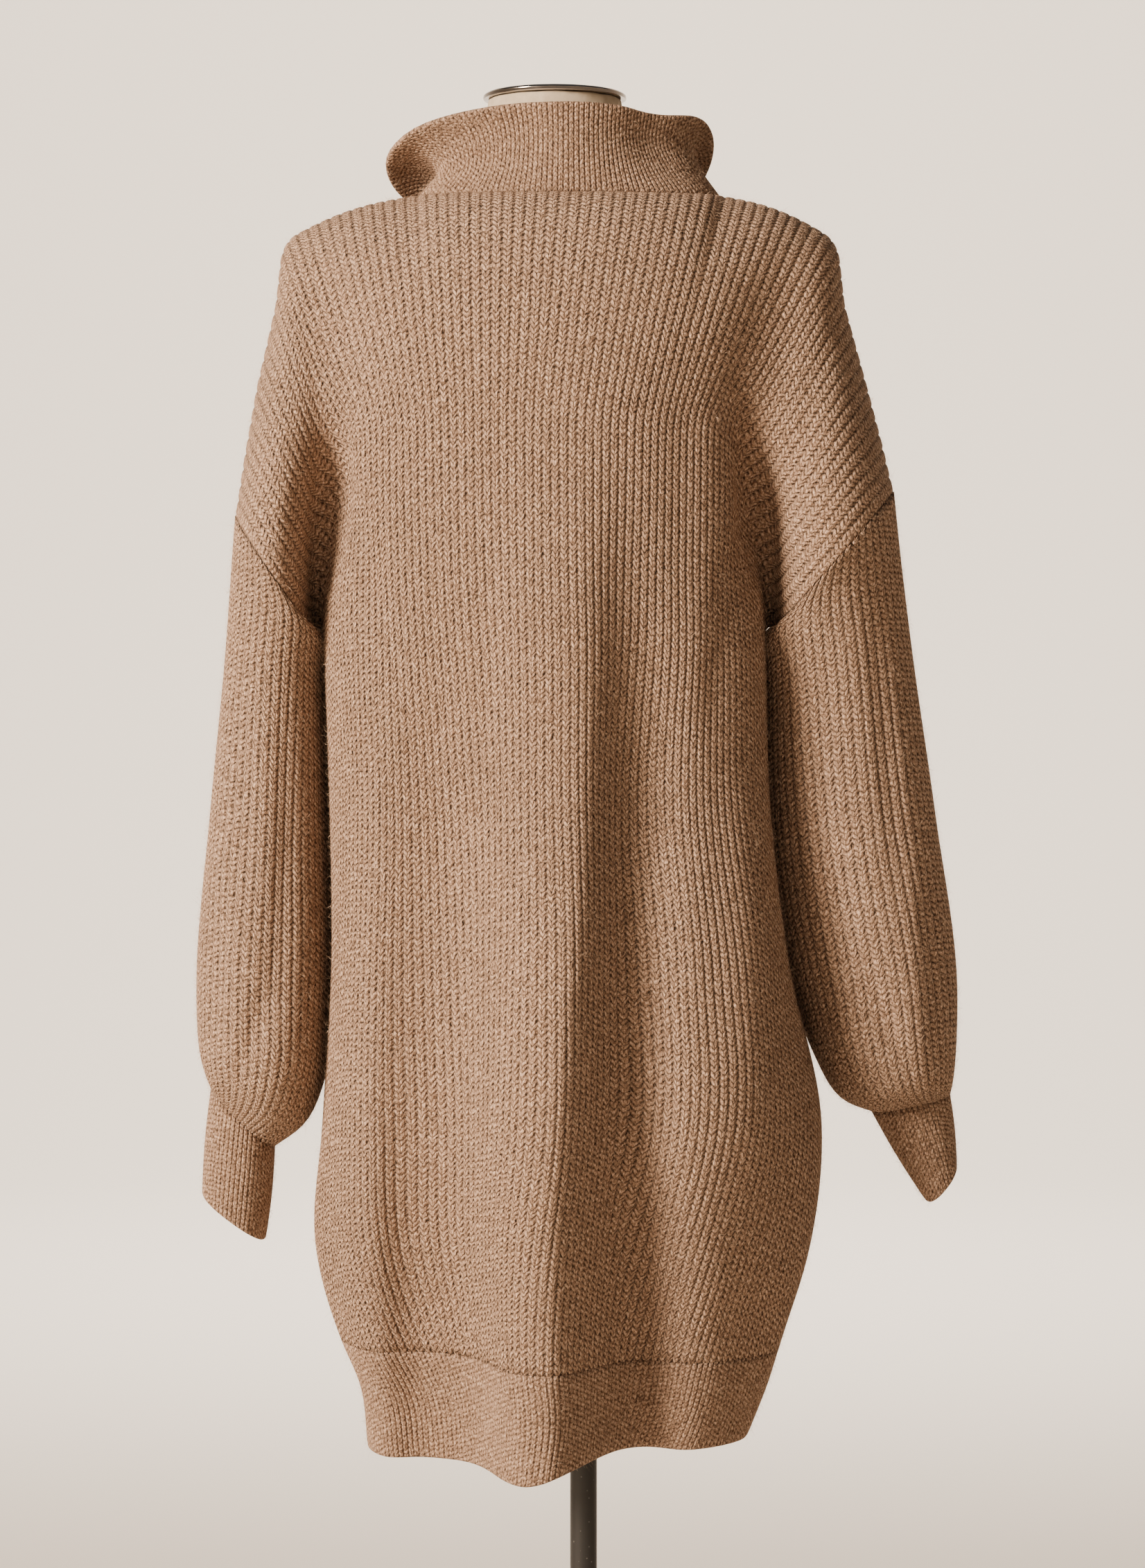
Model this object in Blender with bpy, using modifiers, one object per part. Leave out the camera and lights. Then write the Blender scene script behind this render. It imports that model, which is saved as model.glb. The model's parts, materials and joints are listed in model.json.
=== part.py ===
"""Oversized rib-knit sweater dress with balloon sleeves, standing on a limbless dress form.

Metres, +Z up. The garment faces -Y and the wearer's right is -X. The origin is on the pole's
axis, on the underside of the base. Every cloth piece is a wall with its ribs raised on the
outside and a plain inside. Points are worked out on the outside face, then moved in.
"""
import math

import bmesh
import bpy
import numpy as np

# Cloth wall, and the ribs that stand out of it
GROOVE_WALL = 0.0030
RIB_RISE = 0.0018
FINE_WALL = 0.0028
FINE_RISE = 0.0012
SEAM_GAP = 0.0003
COLLAR_GAP = 0.0008

# Ribs on each piece
BODY_RIBS = 80
SLEEVE_RIBS = 46
CUFF_RIBS = 38
HEM_RIBS = 84
BODY_STEP = 4
SLEEVE_STEP = 4
COLLAR_STEP = 6

# Heights of the seams
UNDERARM_HEIGHT = 1.0915
BAND_SEAM_HEIGHT = 0.5843
HEM_HEIGHT = 0.512
TWIST_AT_HEM = math.radians(-11.0)

# The hem hangs a little lower on the left than on the right
HEM_LIFT_RIGHT = 0.010
HEM_LIFT_LEFT = -0.004
HEM_TURNS = (-0.040, 0.020)

# Shoulders: the share of a panel's ribs that ends between the two shoulder tips
SHOULDER_SHARE = 0.59
ARM_STARTS = 0.50
NECK_RIGHT = -0.096
NECK_LEFT = 0.1163
NECK_HEIGHT = 1.396
BACK_NECK_DEPTH = 0.060
BACK_NECK_DROP = 0.004
FRONT_NECK_DEPTH = 0.088
FRONT_NECK_DROP = 0.082
FRONT_NECK_POINT = 1.35
NECK_ROUNDNESS = 0.50
BODY_EDGE_SQUEEZE = 0.12
TOP_SMOOTHING = 4
COLLAR_EASE = 9
COLLAR_FOOT_EASE = 3
CORNER_LIFT = 0.0014
NECK_CORNER = 0.022

# The line over each shoulder and down the outer arm, in the plane of the seams
ARM_LINE_RIGHT = [
    # across, height
    (-0.1800, 1.364),
    (-0.1850, 1.319),
    (-0.2010, 1.260),
    (-0.2110, 1.221),
    (-0.2190, 1.187),
]
ARM_LINE_LEFT = [
    # across, height
    (0.2127, 1.364),
    (0.2176, 1.319),
    (0.2310, 1.260),
    (0.2390, 1.213),
    (0.2455, 1.170),
]
ARM_DEPTH = 0.075

# The cloth turns from the arm to the body over a narrow ledge under each arm
UNDERARM_LEDGE = 0.0075

# Body sections below the underarm
BODY_LEVELS = [
    # height, left seam, right seam, back depth, front depth
    (1.0915, 0.1840, -0.1275, 0.116, 0.134),
    (0.9700, 0.1795, -0.1277, 0.106, 0.126),
    (0.8500, 0.1781, -0.1457, 0.120, 0.124),
    (0.7400, 0.1850, -0.1680, 0.112, 0.132),
    (0.6500, 0.1918, -0.1585, 0.082, 0.128),
    (0.5843, 0.1745, -0.1380, 0.060, 0.118),
    (0.5120, 0.1554, -0.1155, 0.048, 0.104),
]
SECTION_POWER = 2.35

# Long folds that hang from the yoke to the hem
FOLDS = [
    # panel, across at top, across at hem, left width, right width, start, rise, growth
    ("back", 0.012, 0.003, 0.050, 0.034, 1.240, 0.090, 1.2),
    ("back", 0.152, 0.142, 0.024, 0.024, 1.080, 0.024, 0.8),
    ("back", -0.092, -0.096, 0.032, 0.030, 1.120, 0.026, 0.8),
    ("front", 0.080, 0.078, 0.036, 0.036, 1.100, 0.034, 1.0),
    ("front", -0.048, -0.042, 0.036, 0.036, 1.130, 0.046, 1.1),
]
FOLD_FLATNESS = 2.6

# The crease between each upper arm and the body, as a share of the panel's half width
CREASE_AT = 0.56
CREASE_HALF_WIDTH = 0.12
CREASE_DEPTH = 0.018
CREASE_RISE = 0.140

# Sleeve rings, from the armhole to the top of the cuff
RIGHT_SLEEVE_RINGS = [
    # outer across, outer height, inner across, inner height, depth, forward
    (-0.2190, 1.187, -0.1350, 1.0915, 0.1500, 0.000),
    (-0.2310, 1.095, -0.1284, 1.0640, 0.1500, 0.024),
    (-0.2510, 0.960, -0.1336, 0.9300, 0.1560, 0.036),
    (-0.2668, 0.835, -0.1500, 0.8300, 0.1600, 0.036),
    (-0.2655, 0.785, -0.1655, 0.7850, 0.1520, 0.036),
    (-0.2635, 0.766, -0.1830, 0.7550, 0.1240, 0.036),
    (-0.2620, 0.7586, -0.2058, 0.7460, 0.0760, 0.036),
]
LEFT_SLEEVE_RINGS = [
    # outer across, outer height, inner across, inner height, depth, forward
    (0.2455, 1.170, 0.1915, 1.0915, 0.1500, 0.000),
    (0.2530, 1.090, 0.1842, 1.0640, 0.1520, 0.024),
    (0.2655, 0.965, 0.1795, 0.9400, 0.1600, 0.034),
    (0.2760, 0.838, 0.1785, 0.8300, 0.1640, 0.036),
    (0.2738, 0.790, 0.1845, 0.7700, 0.1560, 0.036),
    (0.2700, 0.774, 0.1975, 0.7380, 0.1240, 0.036),
    (0.2661, 0.7633, 0.2208, 0.7206, 0.0760, 0.036),
]
RIGHT_CUFF_END = (-0.2670, 0.7056, -0.2460, 0.6800, 0.0740, 0.040)
LEFT_CUFF_END = (0.2729, 0.6865, 0.2278, 0.6530, 0.0720, 0.040)
SLEEVE_POWER = 2.3

# Collar: strips of it from the neck seam up, and how far each leans out from upright. It
# stands upright at the back, leans in over the neck half way round, and turns over to the
# outside towards the front, sooner on the left.
COLLAR_RIGHT = [
    # width, then the lean in degrees: at back, half way, at side, where it turns over, at front
    (0.024, 0.0, -40.0, -30.0, -20.0, 0.0),
    (0.020, 0.0, -30.0, -25.0, 10.0, 50.0),
    (0.018, 0.0, 0.0, 30.0, 80.0, 90.0),
]
COLLAR_LEFT = [
    # width, then the lean in degrees: at back, half way, at side, where it turns over, at front
    (0.024, 0.0, -30.0, -35.0, 0.0, 0.0),
    (0.020, 0.0, 10.0, 70.0, 90.0, 50.0),
    (0.018, 0.0, 50.0, 100.0, 110.0, 90.0),
]
# Places of the leans round the neck: -1 at the back, 0 at the shoulders, 1 at the front
TURNS_OVER_AT = 0.4
COLLAR_STOPS = (-1.0, -0.5, 0.0, TURNS_OVER_AT, 1.0)

# Dress form and stand
FORM_SECTIONS = [
    # height, centre across, half width, back depth, front depth, roundness power
    (0.700, 0.0090, 0.140, 0.072, 0.080, 2.3),
    (0.712, 0.0090, 0.150, 0.082, 0.090, 2.3),
    (0.790, 0.0110, 0.155, 0.096, 0.096, 2.3),
    (0.860, 0.0120, 0.146, 0.092, 0.094, 2.3),
    (0.960, 0.0140, 0.118, 0.076, 0.084, 2.2),
    (1.060, 0.0190, 0.120, 0.080, 0.098, 2.2),
    (1.150, 0.0200, 0.128, 0.090, 0.116, 2.1),
    (1.230, 0.0200, 0.134, 0.092, 0.098, 2.1),
    (1.300, 0.0180, 0.158, 0.080, 0.076, 2.1),
    (1.335, 0.0165, 0.173, 0.066, 0.060, 1.9),
    (1.3604, 0.0165, 0.174, 0.056, 0.052, 1.5),
    (1.3749, 0.0165, 0.155, 0.046, 0.036, 1.3),
    (1.3871, 0.0175, 0.120, 0.047, 0.032, 1.2),
    (1.3912, 0.0190, 0.070, 0.047, 0.040, 1.4),
    (1.408, 0.0200, 0.055, 0.047, 0.047, 2.0),
    (1.4631, 0.0203, 0.0475, 0.0475, 0.0475, 2.0),
]
FORM_SIDES = 24
CAP_RADIUS = 0.0505
CAP_HEIGHT = 0.0043
POLE_RADIUS = 0.0095
POLE_SIDES = 24
TURNED_STEPS = 32
BASE_RADIUS = 0.180
BASE_PLATE = 0.010
SOCKET_HEIGHT = 0.045
SOCKET_RADIUS = 0.019

COLOURS = {
    # name: (linear colour, roughness, metallic)
    "rib_knit": ((0.38, 0.27, 0.185), 0.95, 0.0),
    "fine_rib": ((0.40, 0.285, 0.195), 0.95, 0.0),
    "linen": ((0.62, 0.55, 0.44), 0.90, 0.0),
    "chrome": ((0.72, 0.72, 0.72), 0.12, 1.0),
    "black_steel": ((0.012, 0.012, 0.013), 0.35, 0.4),
}

SEAM_PLANE = np.array([0.0, 1.0, 0.0])
UP = np.array([0.0, 0.0, 1.0])


# ---- numbers along a table ------------------------------------------------------------------

def along_table(table, column, at):
    """A column's value at a height, by a smooth curve through the table's rows."""
    rows = sorted(table, key=lambda row: row[0])
    xs = np.array([row[0] for row in rows])
    ys = np.array([row[column] for row in rows])
    slopes = np.gradient(ys, xs)
    at = min(max(at, xs[0]), xs[-1])
    i = min(int(np.searchsorted(xs, at, side="right")) - 1, len(xs) - 2)
    width = xs[i + 1] - xs[i]
    t = (at - xs[i]) / width
    start = (2 * t**3 - 3 * t**2 + 1) * ys[i] + (t**3 - 2 * t**2 + t) * width * slopes[i]
    end = (3 * t**2 - 2 * t**3) * ys[i + 1] + (t**3 - t**2) * width * slopes[i + 1]
    return float(start + end)


def along_line(points, shares):
    """Points at the given shares of a polyline's length."""
    points = np.asarray(points, dtype=float)
    steps = np.linalg.norm(np.diff(points, axis=0), axis=1)
    lengths = np.concatenate([[0.0], np.cumsum(steps)])
    wanted = np.asarray(shares) * lengths[-1]
    columns = [np.interp(wanted, lengths, points[:, k]) for k in range(points.shape[1])]
    return np.stack(columns, axis=-1)


def unit(vectors):
    lengths = np.linalg.norm(vectors, axis=-1, keepdims=True)
    return vectors / np.maximum(lengths, 1e-9)


# ---- walls ----------------------------------------------------------------------------------

def grid_normals(points, closed):
    """Outward directions of a grid whose rows run down and whose columns run round."""
    if closed:
        across = np.roll(points, -1, axis=1) - np.roll(points, 1, axis=1)
    else:
        across = np.gradient(points, axis=1)
    down = np.gradient(points, axis=0)
    return unit(np.cross(across, down))


def into_plane(normals, plane):
    """The same directions laid into the plane with the given normal."""
    plane = np.asarray(plane)
    part = np.sum(normals * plane, axis=-1, keepdims=True) * plane
    return unit(normals - part)


def fan(coarse, fine, step):
    """Triangles of the strip between a coarse edge and a fine one."""
    faces = []
    for j in range(len(coarse) - 1):
        first = j * step
        middle = first + step // 2
        last = first + step
        for k in range(first, middle):
            faces.append((coarse[j], fine[k], fine[k + 1]))
        faces.append((coarse[j], fine[middle], coarse[j + 1]))
        for k in range(middle, last):
            faces.append((coarse[j + 1], fine[k], fine[k + 1]))
    return faces


def add_wall(name, points, normals, wall, rise, look, step, closed=False):
    """One closed body: ribbed outside, plain inside, rims between them."""
    rows, columns = points.shape[:2]
    groove = (np.arange(columns) % 2 == 0).astype(float)
    outside = points - normals * (groove * rise)[None, :, None]
    inside = (points - normals * (wall + rise))[:, ::step]
    inner_columns = inside.shape[1]
    verts = np.concatenate([outside.reshape(-1, 3), inside.reshape(-1, 3)])
    first_inner = rows * columns
    outer = np.arange(first_inner).reshape(rows, columns)
    inner = np.arange(rows * inner_columns).reshape(rows, inner_columns) + first_inner
    if closed:
        outer = np.concatenate([outer, outer[:, :1]], axis=1)
        inner = np.concatenate([inner, inner[:, :1]], axis=1)
    faces = []
    for r in range(rows - 1):
        for c in range(outer.shape[1] - 1):
            faces.append((outer[r, c], outer[r, c + 1], outer[r + 1, c + 1], outer[r + 1, c]))
        for c in range(inner.shape[1] - 1):
            faces.append((inner[r, c], inner[r + 1, c], inner[r + 1, c + 1], inner[r, c + 1]))
    faces += [(a, c, b) for a, b, c in fan(inner[0], outer[0], step)]
    faces += fan(inner[-1], outer[-1], step)
    if not closed:
        for r in range(rows - 1):
            faces.append((outer[r, 0], outer[r + 1, 0], inner[r + 1, 0], inner[r, 0]))
            faces.append((outer[r, -1], inner[r, -1], inner[r + 1, -1], outer[r + 1, -1]))
    return add_mesh(name, verts, faces, look)


def add_mesh(name, verts, faces, look):
    mesh = bpy.data.meshes.new(name)
    mesh.from_pydata([tuple(v) for v in verts], [], [tuple(int(i) for i in f) for f in faces])
    shaped = bmesh.new()
    shaped.from_mesh(mesh)
    bmesh.ops.recalc_face_normals(shaped, faces=shaped.faces)
    shaped.to_mesh(mesh)
    shaped.free()
    mesh.materials.append(MATERIALS[look])
    made = bpy.data.objects.new(name, mesh)
    PARTS.objects.link(made)
    return made


# ---- body panels ----------------------------------------------------------------------------

def hung(points):
    """Turns what hangs below the underarm a little about the upright axis."""
    share = (UNDERARM_HEIGHT - points[..., 2]) / (UNDERARM_HEIGHT - HEM_HEIGHT)
    share = np.clip(share, 0.0, 1.0)
    angle = TWIST_AT_HEM * share * share * (3.0 - 2.0 * share)
    x = points[..., 0]
    y = points[..., 1]
    turned_x = x * np.cos(angle) - y * np.sin(angle)
    turned_y = x * np.sin(angle) + y * np.cos(angle)
    return np.stack([turned_x, turned_y, points[..., 2]], axis=-1)


def body_line(side, height):
    """The outline of one panel at a height, from the right seam to the left one."""
    left = along_table(BODY_LEVELS, 1, height)
    right = along_table(BODY_LEVELS, 2, height)
    depth = along_table(BODY_LEVELS, 3 if side > 0 else 4, height)
    angles = np.linspace(math.pi, 0.0, 241)
    power = 2.0 / SECTION_POWER
    across = np.sign(np.cos(angles)) * np.abs(np.cos(angles)) ** power
    x = (left + right) / 2 + (left - right) / 2 * across
    y = depth * np.abs(np.sin(angles)) ** power
    panel = "back" if side > 0 else "front"
    for fold_panel, top, hem, on_left, on_right, start, rise, growth in FOLDS:
        if fold_panel != panel or height > start:
            continue
        share = (start - height) / (start - HEM_HEIGHT)
        centre = top + (hem - top) * share
        held = 1.0 - np.abs(across) ** 6
        away = np.abs(x - centre) / np.where(x > centre, on_left, on_right)
        y += rise * share**growth * np.exp(-(away**FOLD_FLATNESS)) * held
    return np.stack([x, side * y, np.full_like(x, height)], axis=-1)


def rib_shares(across):
    """Where each rib lies along a section: a little closer together near the seams."""
    squeeze = BODY_EDGE_SQUEEZE
    spread = across * (1 - squeeze * across**2) / (1 - squeeze)
    return (spread + 1) / 2


def neck_point(across, side):
    """A point of the neck seam; across runs from -1 at the right to 1 at the left."""
    centre = (NECK_LEFT + NECK_RIGHT) / 2
    half = (NECK_LEFT - NECK_RIGHT) / 2
    round_share = max(0.0, 1.0 - across * across) ** NECK_ROUNDNESS
    if side > 0:
        drop = BACK_NECK_DROP * round_share
        return (centre + half * across, BACK_NECK_DEPTH * round_share, NECK_HEIGHT - drop)
    slope = 1.0 - abs(across)
    drop = FRONT_NECK_DROP * (1.0 - abs(across) ** FRONT_NECK_POINT)
    depth = FRONT_NECK_DEPTH * (0.6 * round_share + 0.4 * slope)
    return (centre + half * across, -depth, NECK_HEIGHT - drop)


def arm_weights(shares):
    """How much each rib belongs to the arm: 0 up to the crease, 1 at the armhole seam."""
    weights = np.clip((np.abs(shares) - ARM_STARTS) / (1.0 - ARM_STARTS), 0.0, 1.0)
    return weights * weights * (3 - 2 * weights)


def top_point(share, side):
    """Where the rib at this share of the panel ends: neck, shoulder or outer arm."""
    line = ARM_LINE_LEFT if share > 0 else ARM_LINE_RIGHT
    if abs(share) >= SHOULDER_SHARE:
        down = (abs(share) - SHOULDER_SHARE) / (1.0 - SHOULDER_SHARE)
        x, z = along_line(line, [down])[0]
        return (x, 0.0, z)
    tip_right = ARM_LINE_RIGHT[0][0]
    tip_left = ARM_LINE_LEFT[0][0]
    x = tip_right + (tip_left - tip_right) * (share / SHOULDER_SHARE + 1) / 2
    if NECK_RIGHT < x < NECK_LEFT:
        across = (2 * x - NECK_LEFT - NECK_RIGHT) / (NECK_LEFT - NECK_RIGHT)
        return neck_point(across, side)
    neck = NECK_LEFT if share > 0 else NECK_RIGHT
    out = (x - neck) / (line[0][0] - neck)
    slope = NECK_HEIGHT + (line[0][1] - NECK_HEIGHT) * out
    return (x, 0.0, slope + 0.006 * math.sin(math.pi * out))


def upper_point(share, down, side, underarm):
    """A point between a rib's top and the underarm line; down runs from 0 to 1."""
    top = np.array(top_point(share, side))
    arm = float(arm_weights(share))
    straight = down**1.45
    looped = (1 - math.cos(math.pi * down)) / 2
    fall = (1 - arm) * straight + arm * looped
    point = top + (underarm - top) * fall
    shoulder_y = top[1] + (underarm[1] - top[1]) * math.sqrt(max(0.0, 1 - (1 - fall) ** 3))
    bulge = side * ARM_DEPTH * math.sin(math.pi * down)
    arm_y = bulge + underarm[1] * fall
    crease = CREASE_DEPTH * math.exp(-(((abs(share) - CREASE_AT) / CREASE_HALF_WIDTH) ** 2))
    crease *= math.sin(math.pi * min(1.0, down * 0.93)) ** 2 * down
    point[1] = (1 - arm) * shoulder_y + arm * arm_y - side * crease
    return point


def underarm_point(share, side):
    """Where a rib turns from the arm to the body: at the seam under the arm, or higher up."""
    rise = math.sin(math.pi / 2 * min(1.0, (1.0 - abs(share)) / (1.0 - ARM_STARTS)))
    line = body_line(side, UNDERARM_HEIGHT + CREASE_RISE * rise)
    return along_line(line, [rib_shares(share)])[0]


def panel_points(side):
    """The outside of one body panel: rows run down it, columns across from right to left."""
    shares = np.linspace(-1.0, 1.0, 2 * BODY_RIBS + 1)
    underarm = np.array([underarm_point(share, side) for share in shares])
    ledge = underarm.copy()
    ledge[:, 0] += UNDERARM_LEDGE * np.sign(shares) * arm_weights(shares)
    rows = []
    for down in np.linspace(0.0, 1.0, 6)[:-1]:
        rows.append([upper_point(s, down, side, u) for s, u in zip(shares, ledge)])
    rows.append(ledge)
    rows.append(underarm - UP * UNDERARM_LEDGE * 0.2)
    for height in (0.970, 0.835, 0.700, BAND_SEAM_HEIGHT + SEAM_GAP / 2):
        rows.append(along_line(body_line(side, height), rib_shares(shares)))
    points = np.array(rows)
    points[..., 1] += side * SEAM_GAP / 2
    return points


def neck_columns(points):
    """The columns of a panel that end at the neck."""
    x = points[0, :, 0]
    inside = np.nonzero((x > NECK_RIGHT) & (x < NECK_LEFT))[0]
    return int(inside[0]), int(inside[-1])


def neck_direction(points):
    """Half outward from the neck, half up: the neck edge's thickness runs this way."""
    centre = np.array([(NECK_LEFT + NECK_RIGHT) / 2, 0.0, 0.0])
    outward = points - centre
    outward[..., 2] = 0.0
    return unit(unit(outward) + UP)


def armhole_bottom(line):
    """Where the armhole seam ends under the arm, on the outer side of the ledge."""
    if line is ARM_LINE_LEFT:
        return BODY_LEVELS[0][1] + UNDERARM_LEDGE
    return BODY_LEVELS[0][2] - UNDERARM_LEDGE


def armhole_plane(line):
    """The direction across the flat loop of an armhole."""
    x, z = line[-1]
    along = np.array([armhole_bottom(line) - x, 0.0, UNDERARM_HEIGHT - z])
    return unit(np.cross(along, SEAM_PLANE))


def panel_normals(points, side):
    normals = grid_normals(points, closed=False)
    if side < 0:
        normals = -normals
    first, last = neck_columns(points)
    tops = np.gradient(points[0], axis=0)
    tops = unit(np.stack([-tops[:, 2], tops[:, 1] * 0.0, tops[:, 0]], axis=-1))
    tops[first:last + 1] = neck_direction(points[0, first:last + 1])
    smoothed = sum(np.roll(tops, k, axis=0) for k in range(-TOP_SMOOTHING, TOP_SMOOTHING + 1))
    smoothed[:TOP_SMOOTHING] = tops[:TOP_SMOOTHING]
    smoothed[-TOP_SMOOTHING:] = tops[-TOP_SMOOTHING:]
    normals[0] = into_plane(smoothed, SEAM_PLANE)
    normals[0, first:last + 1] = neck_direction(points[0, first:last + 1])
    upper_rows = 6
    for column, line in ((0, ARM_LINE_RIGHT), (-1, ARM_LINE_LEFT)):
        plane = armhole_plane(line)
        outward = loop_normals(points[:upper_rows, column], line)
        normals[:upper_rows, column] = into_plane(outward, plane)
        normals[upper_rows:, column] = into_plane(normals[upper_rows:, column], SEAM_PLANE)
    normals[-1] = into_plane(normals[-1], UP)
    return normals


def loop_normals(points, line):
    """Directions away from the middle of an armhole loop."""
    x, z = line[-1]
    middle = np.array([(x + armhole_bottom(line)) / 2, 0.0, (z + UNDERARM_HEIGHT) / 2])
    return unit(points - middle)


def make_panels():
    made = {}
    for name, side in (("back_panel", 1), ("front_panel", -1)):
        points = panel_points(side)
        normals = panel_normals(points, side)
        if side < 0:
            points = points[:, ::-1]
            normals = normals[:, ::-1]
        made[name] = (points, normals)
        ends = hung(points - normals * 0.01)
        placed = hung(points)
        add_wall(name, placed, unit(placed - ends), GROOVE_WALL, RIB_RISE, "rib_knit",
                 BODY_STEP)
    return made


# ---- hem bands ------------------------------------------------------------------------------

def hem_lift(x):
    """How much higher than the hem's level its edge hangs, from the right side to the left."""
    share = np.clip((x - HEM_TURNS[0]) / (HEM_TURNS[1] - HEM_TURNS[0]), 0.0, 1.0)
    share = share * share * (3.0 - 2.0 * share)
    return HEM_LIFT_RIGHT + (HEM_LIFT_LEFT - HEM_LIFT_RIGHT) * share


def make_hem_bands():
    shares = np.linspace(-1.0, 1.0, 2 * HEM_RIBS + 1)
    for name, side in (("back_hem_band", 1), ("front_hem_band", -1)):
        rows = []
        for height in (BAND_SEAM_HEIGHT - SEAM_GAP / 2, HEM_HEIGHT):
            rows.append(along_line(body_line(side, height), rib_shares(shares)))
        points = np.array(rows)
        points[..., 1] += side * SEAM_GAP / 2
        points[-1, :, 2] += hem_lift(points[-1, :, 0])
        normals = grid_normals(points, closed=False) * side
        normals = into_plane(normals, UP)
        normals[:, 0] = into_plane(normals[:, 0], SEAM_PLANE)
        normals[:, -1] = into_plane(normals[:, -1], SEAM_PLANE)
        if side < 0:
            points = points[:, ::-1]
            normals = normals[:, ::-1]
        placed = hung(points)
        ends = hung(points - normals * 0.01)
        add_wall(name, placed, unit(placed - ends), FINE_WALL, FINE_RISE, "fine_rib",
                 BODY_STEP)


# ---- sleeves and cuffs ----------------------------------------------------------------------

def ring(row, count, power):
    """One ring round an arm, in the plane of its outer and inner points and the Y axis."""
    outer_x, outer_z, inner_x, inner_z, depth, forward = row
    angles = np.linspace(0.0, 2 * math.pi, 241)
    power = 2.0 / power
    across = np.sign(np.cos(angles)) * np.abs(np.cos(angles)) ** power
    deep = np.sign(np.sin(angles)) * np.abs(np.sin(angles)) ** power
    middle = np.array([(outer_x + inner_x) / 2, -forward, (outer_z + inner_z) / 2])
    half = np.array([(outer_x - inner_x) / 2, 0.0, (outer_z - inner_z) / 2])
    line = middle + across[:, None] * half + deep[:, None] * SEAM_PLANE * depth / 2
    return along_line(line, np.linspace(0.0, 1.0, count + 1)[:-1])


def ring_plane(row):
    outer_x, outer_z, inner_x, inner_z = row[:4]
    along = np.array([inner_x - outer_x, 0.0, inner_z - outer_z])
    return unit(np.cross(along, SEAM_PLANE))


def armhole_ring(panels, column_right, line, count):
    """The sleeve's first ring, on the edge of the two panels, set off by the seam's gap."""
    back = panels["back_panel"][0][:6, 0 if column_right else -1]
    front = panels["front_panel"][0][:6, -1 if column_right else 0]
    loop = np.concatenate([back, front[::-1], back[:1]])
    plane = armhole_plane(line)
    if plane[2] > 0:
        plane = -plane
    return along_line(loop, np.linspace(0.0, 1.0, count + 1)[:-1]) + plane * SEAM_GAP


def make_sleeves(panels):
    sets = (
        ("right", True, ARM_LINE_RIGHT, RIGHT_SLEEVE_RINGS, RIGHT_CUFF_END),
        ("left", False, ARM_LINE_LEFT, LEFT_SLEEVE_RINGS, LEFT_CUFF_END),
    )
    for name, is_right, line, rings, cuff_end in sets:
        count = 2 * SLEEVE_RIBS
        rows = [armhole_ring(panels, is_right, line, count)]
        rows += [ring(row, count, SLEEVE_POWER) for row in rings[1:]]
        points = np.array(rows)
        sleeve_wall(name + "_sleeve", points, ring_plane(rings[0]), ring_plane(rings[-1]),
                    GROOVE_WALL, RIB_RISE, "rib_knit")
        top_plane = ring_plane(rings[-1])
        if top_plane[2] > 0:
            top_plane = -top_plane
        cuff_count = 2 * CUFF_RIBS
        top = ring(rings[-1], cuff_count, SLEEVE_POWER) + top_plane * SEAM_GAP
        bottom = ring(cuff_end, cuff_count, SLEEVE_POWER)
        sleeve_wall(name + "_cuff", np.array([top, bottom]), ring_plane(rings[-1]),
                    ring_plane(cuff_end), FINE_WALL, FINE_RISE, "fine_rib")


def sleeve_wall(name, points, first_plane, last_plane, wall, rise, look):
    normals = grid_normals(points, closed=True)
    middle = points.mean(axis=1, keepdims=True)
    away = np.sum(normals * (points - middle), axis=(1, 2))
    normals *= np.where(away < 0, -1.0, 1.0)[:, None, None]
    normals[0] = into_plane(normals[0], first_plane)
    normals[-1] = into_plane(normals[-1], last_plane)
    add_wall(name, points, normals, wall, rise, look, SLEEVE_STEP, closed=True)


# ---- collar ---------------------------------------------------------------------------------

def split(points, parts):
    """Each step of a polyline cut into equal parts, on its own straight lines."""
    shares = np.arange(parts) / parts
    steps = [points[i] + (points[i + 1] - points[i]) * t
             for i in range(len(points) - 1) for t in shares]
    return np.array(steps + [points[-1]])


def eased(points, reach):
    """The same line with its corners rounded off, its two ends kept."""
    padded = np.concatenate([np.repeat(points[:1], reach, axis=0), points,
                             np.repeat(points[-1:], reach, axis=0)])
    count = 2 * reach + 1
    return sum(padded[k:k + len(points)] for k in range(count)) / count


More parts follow.
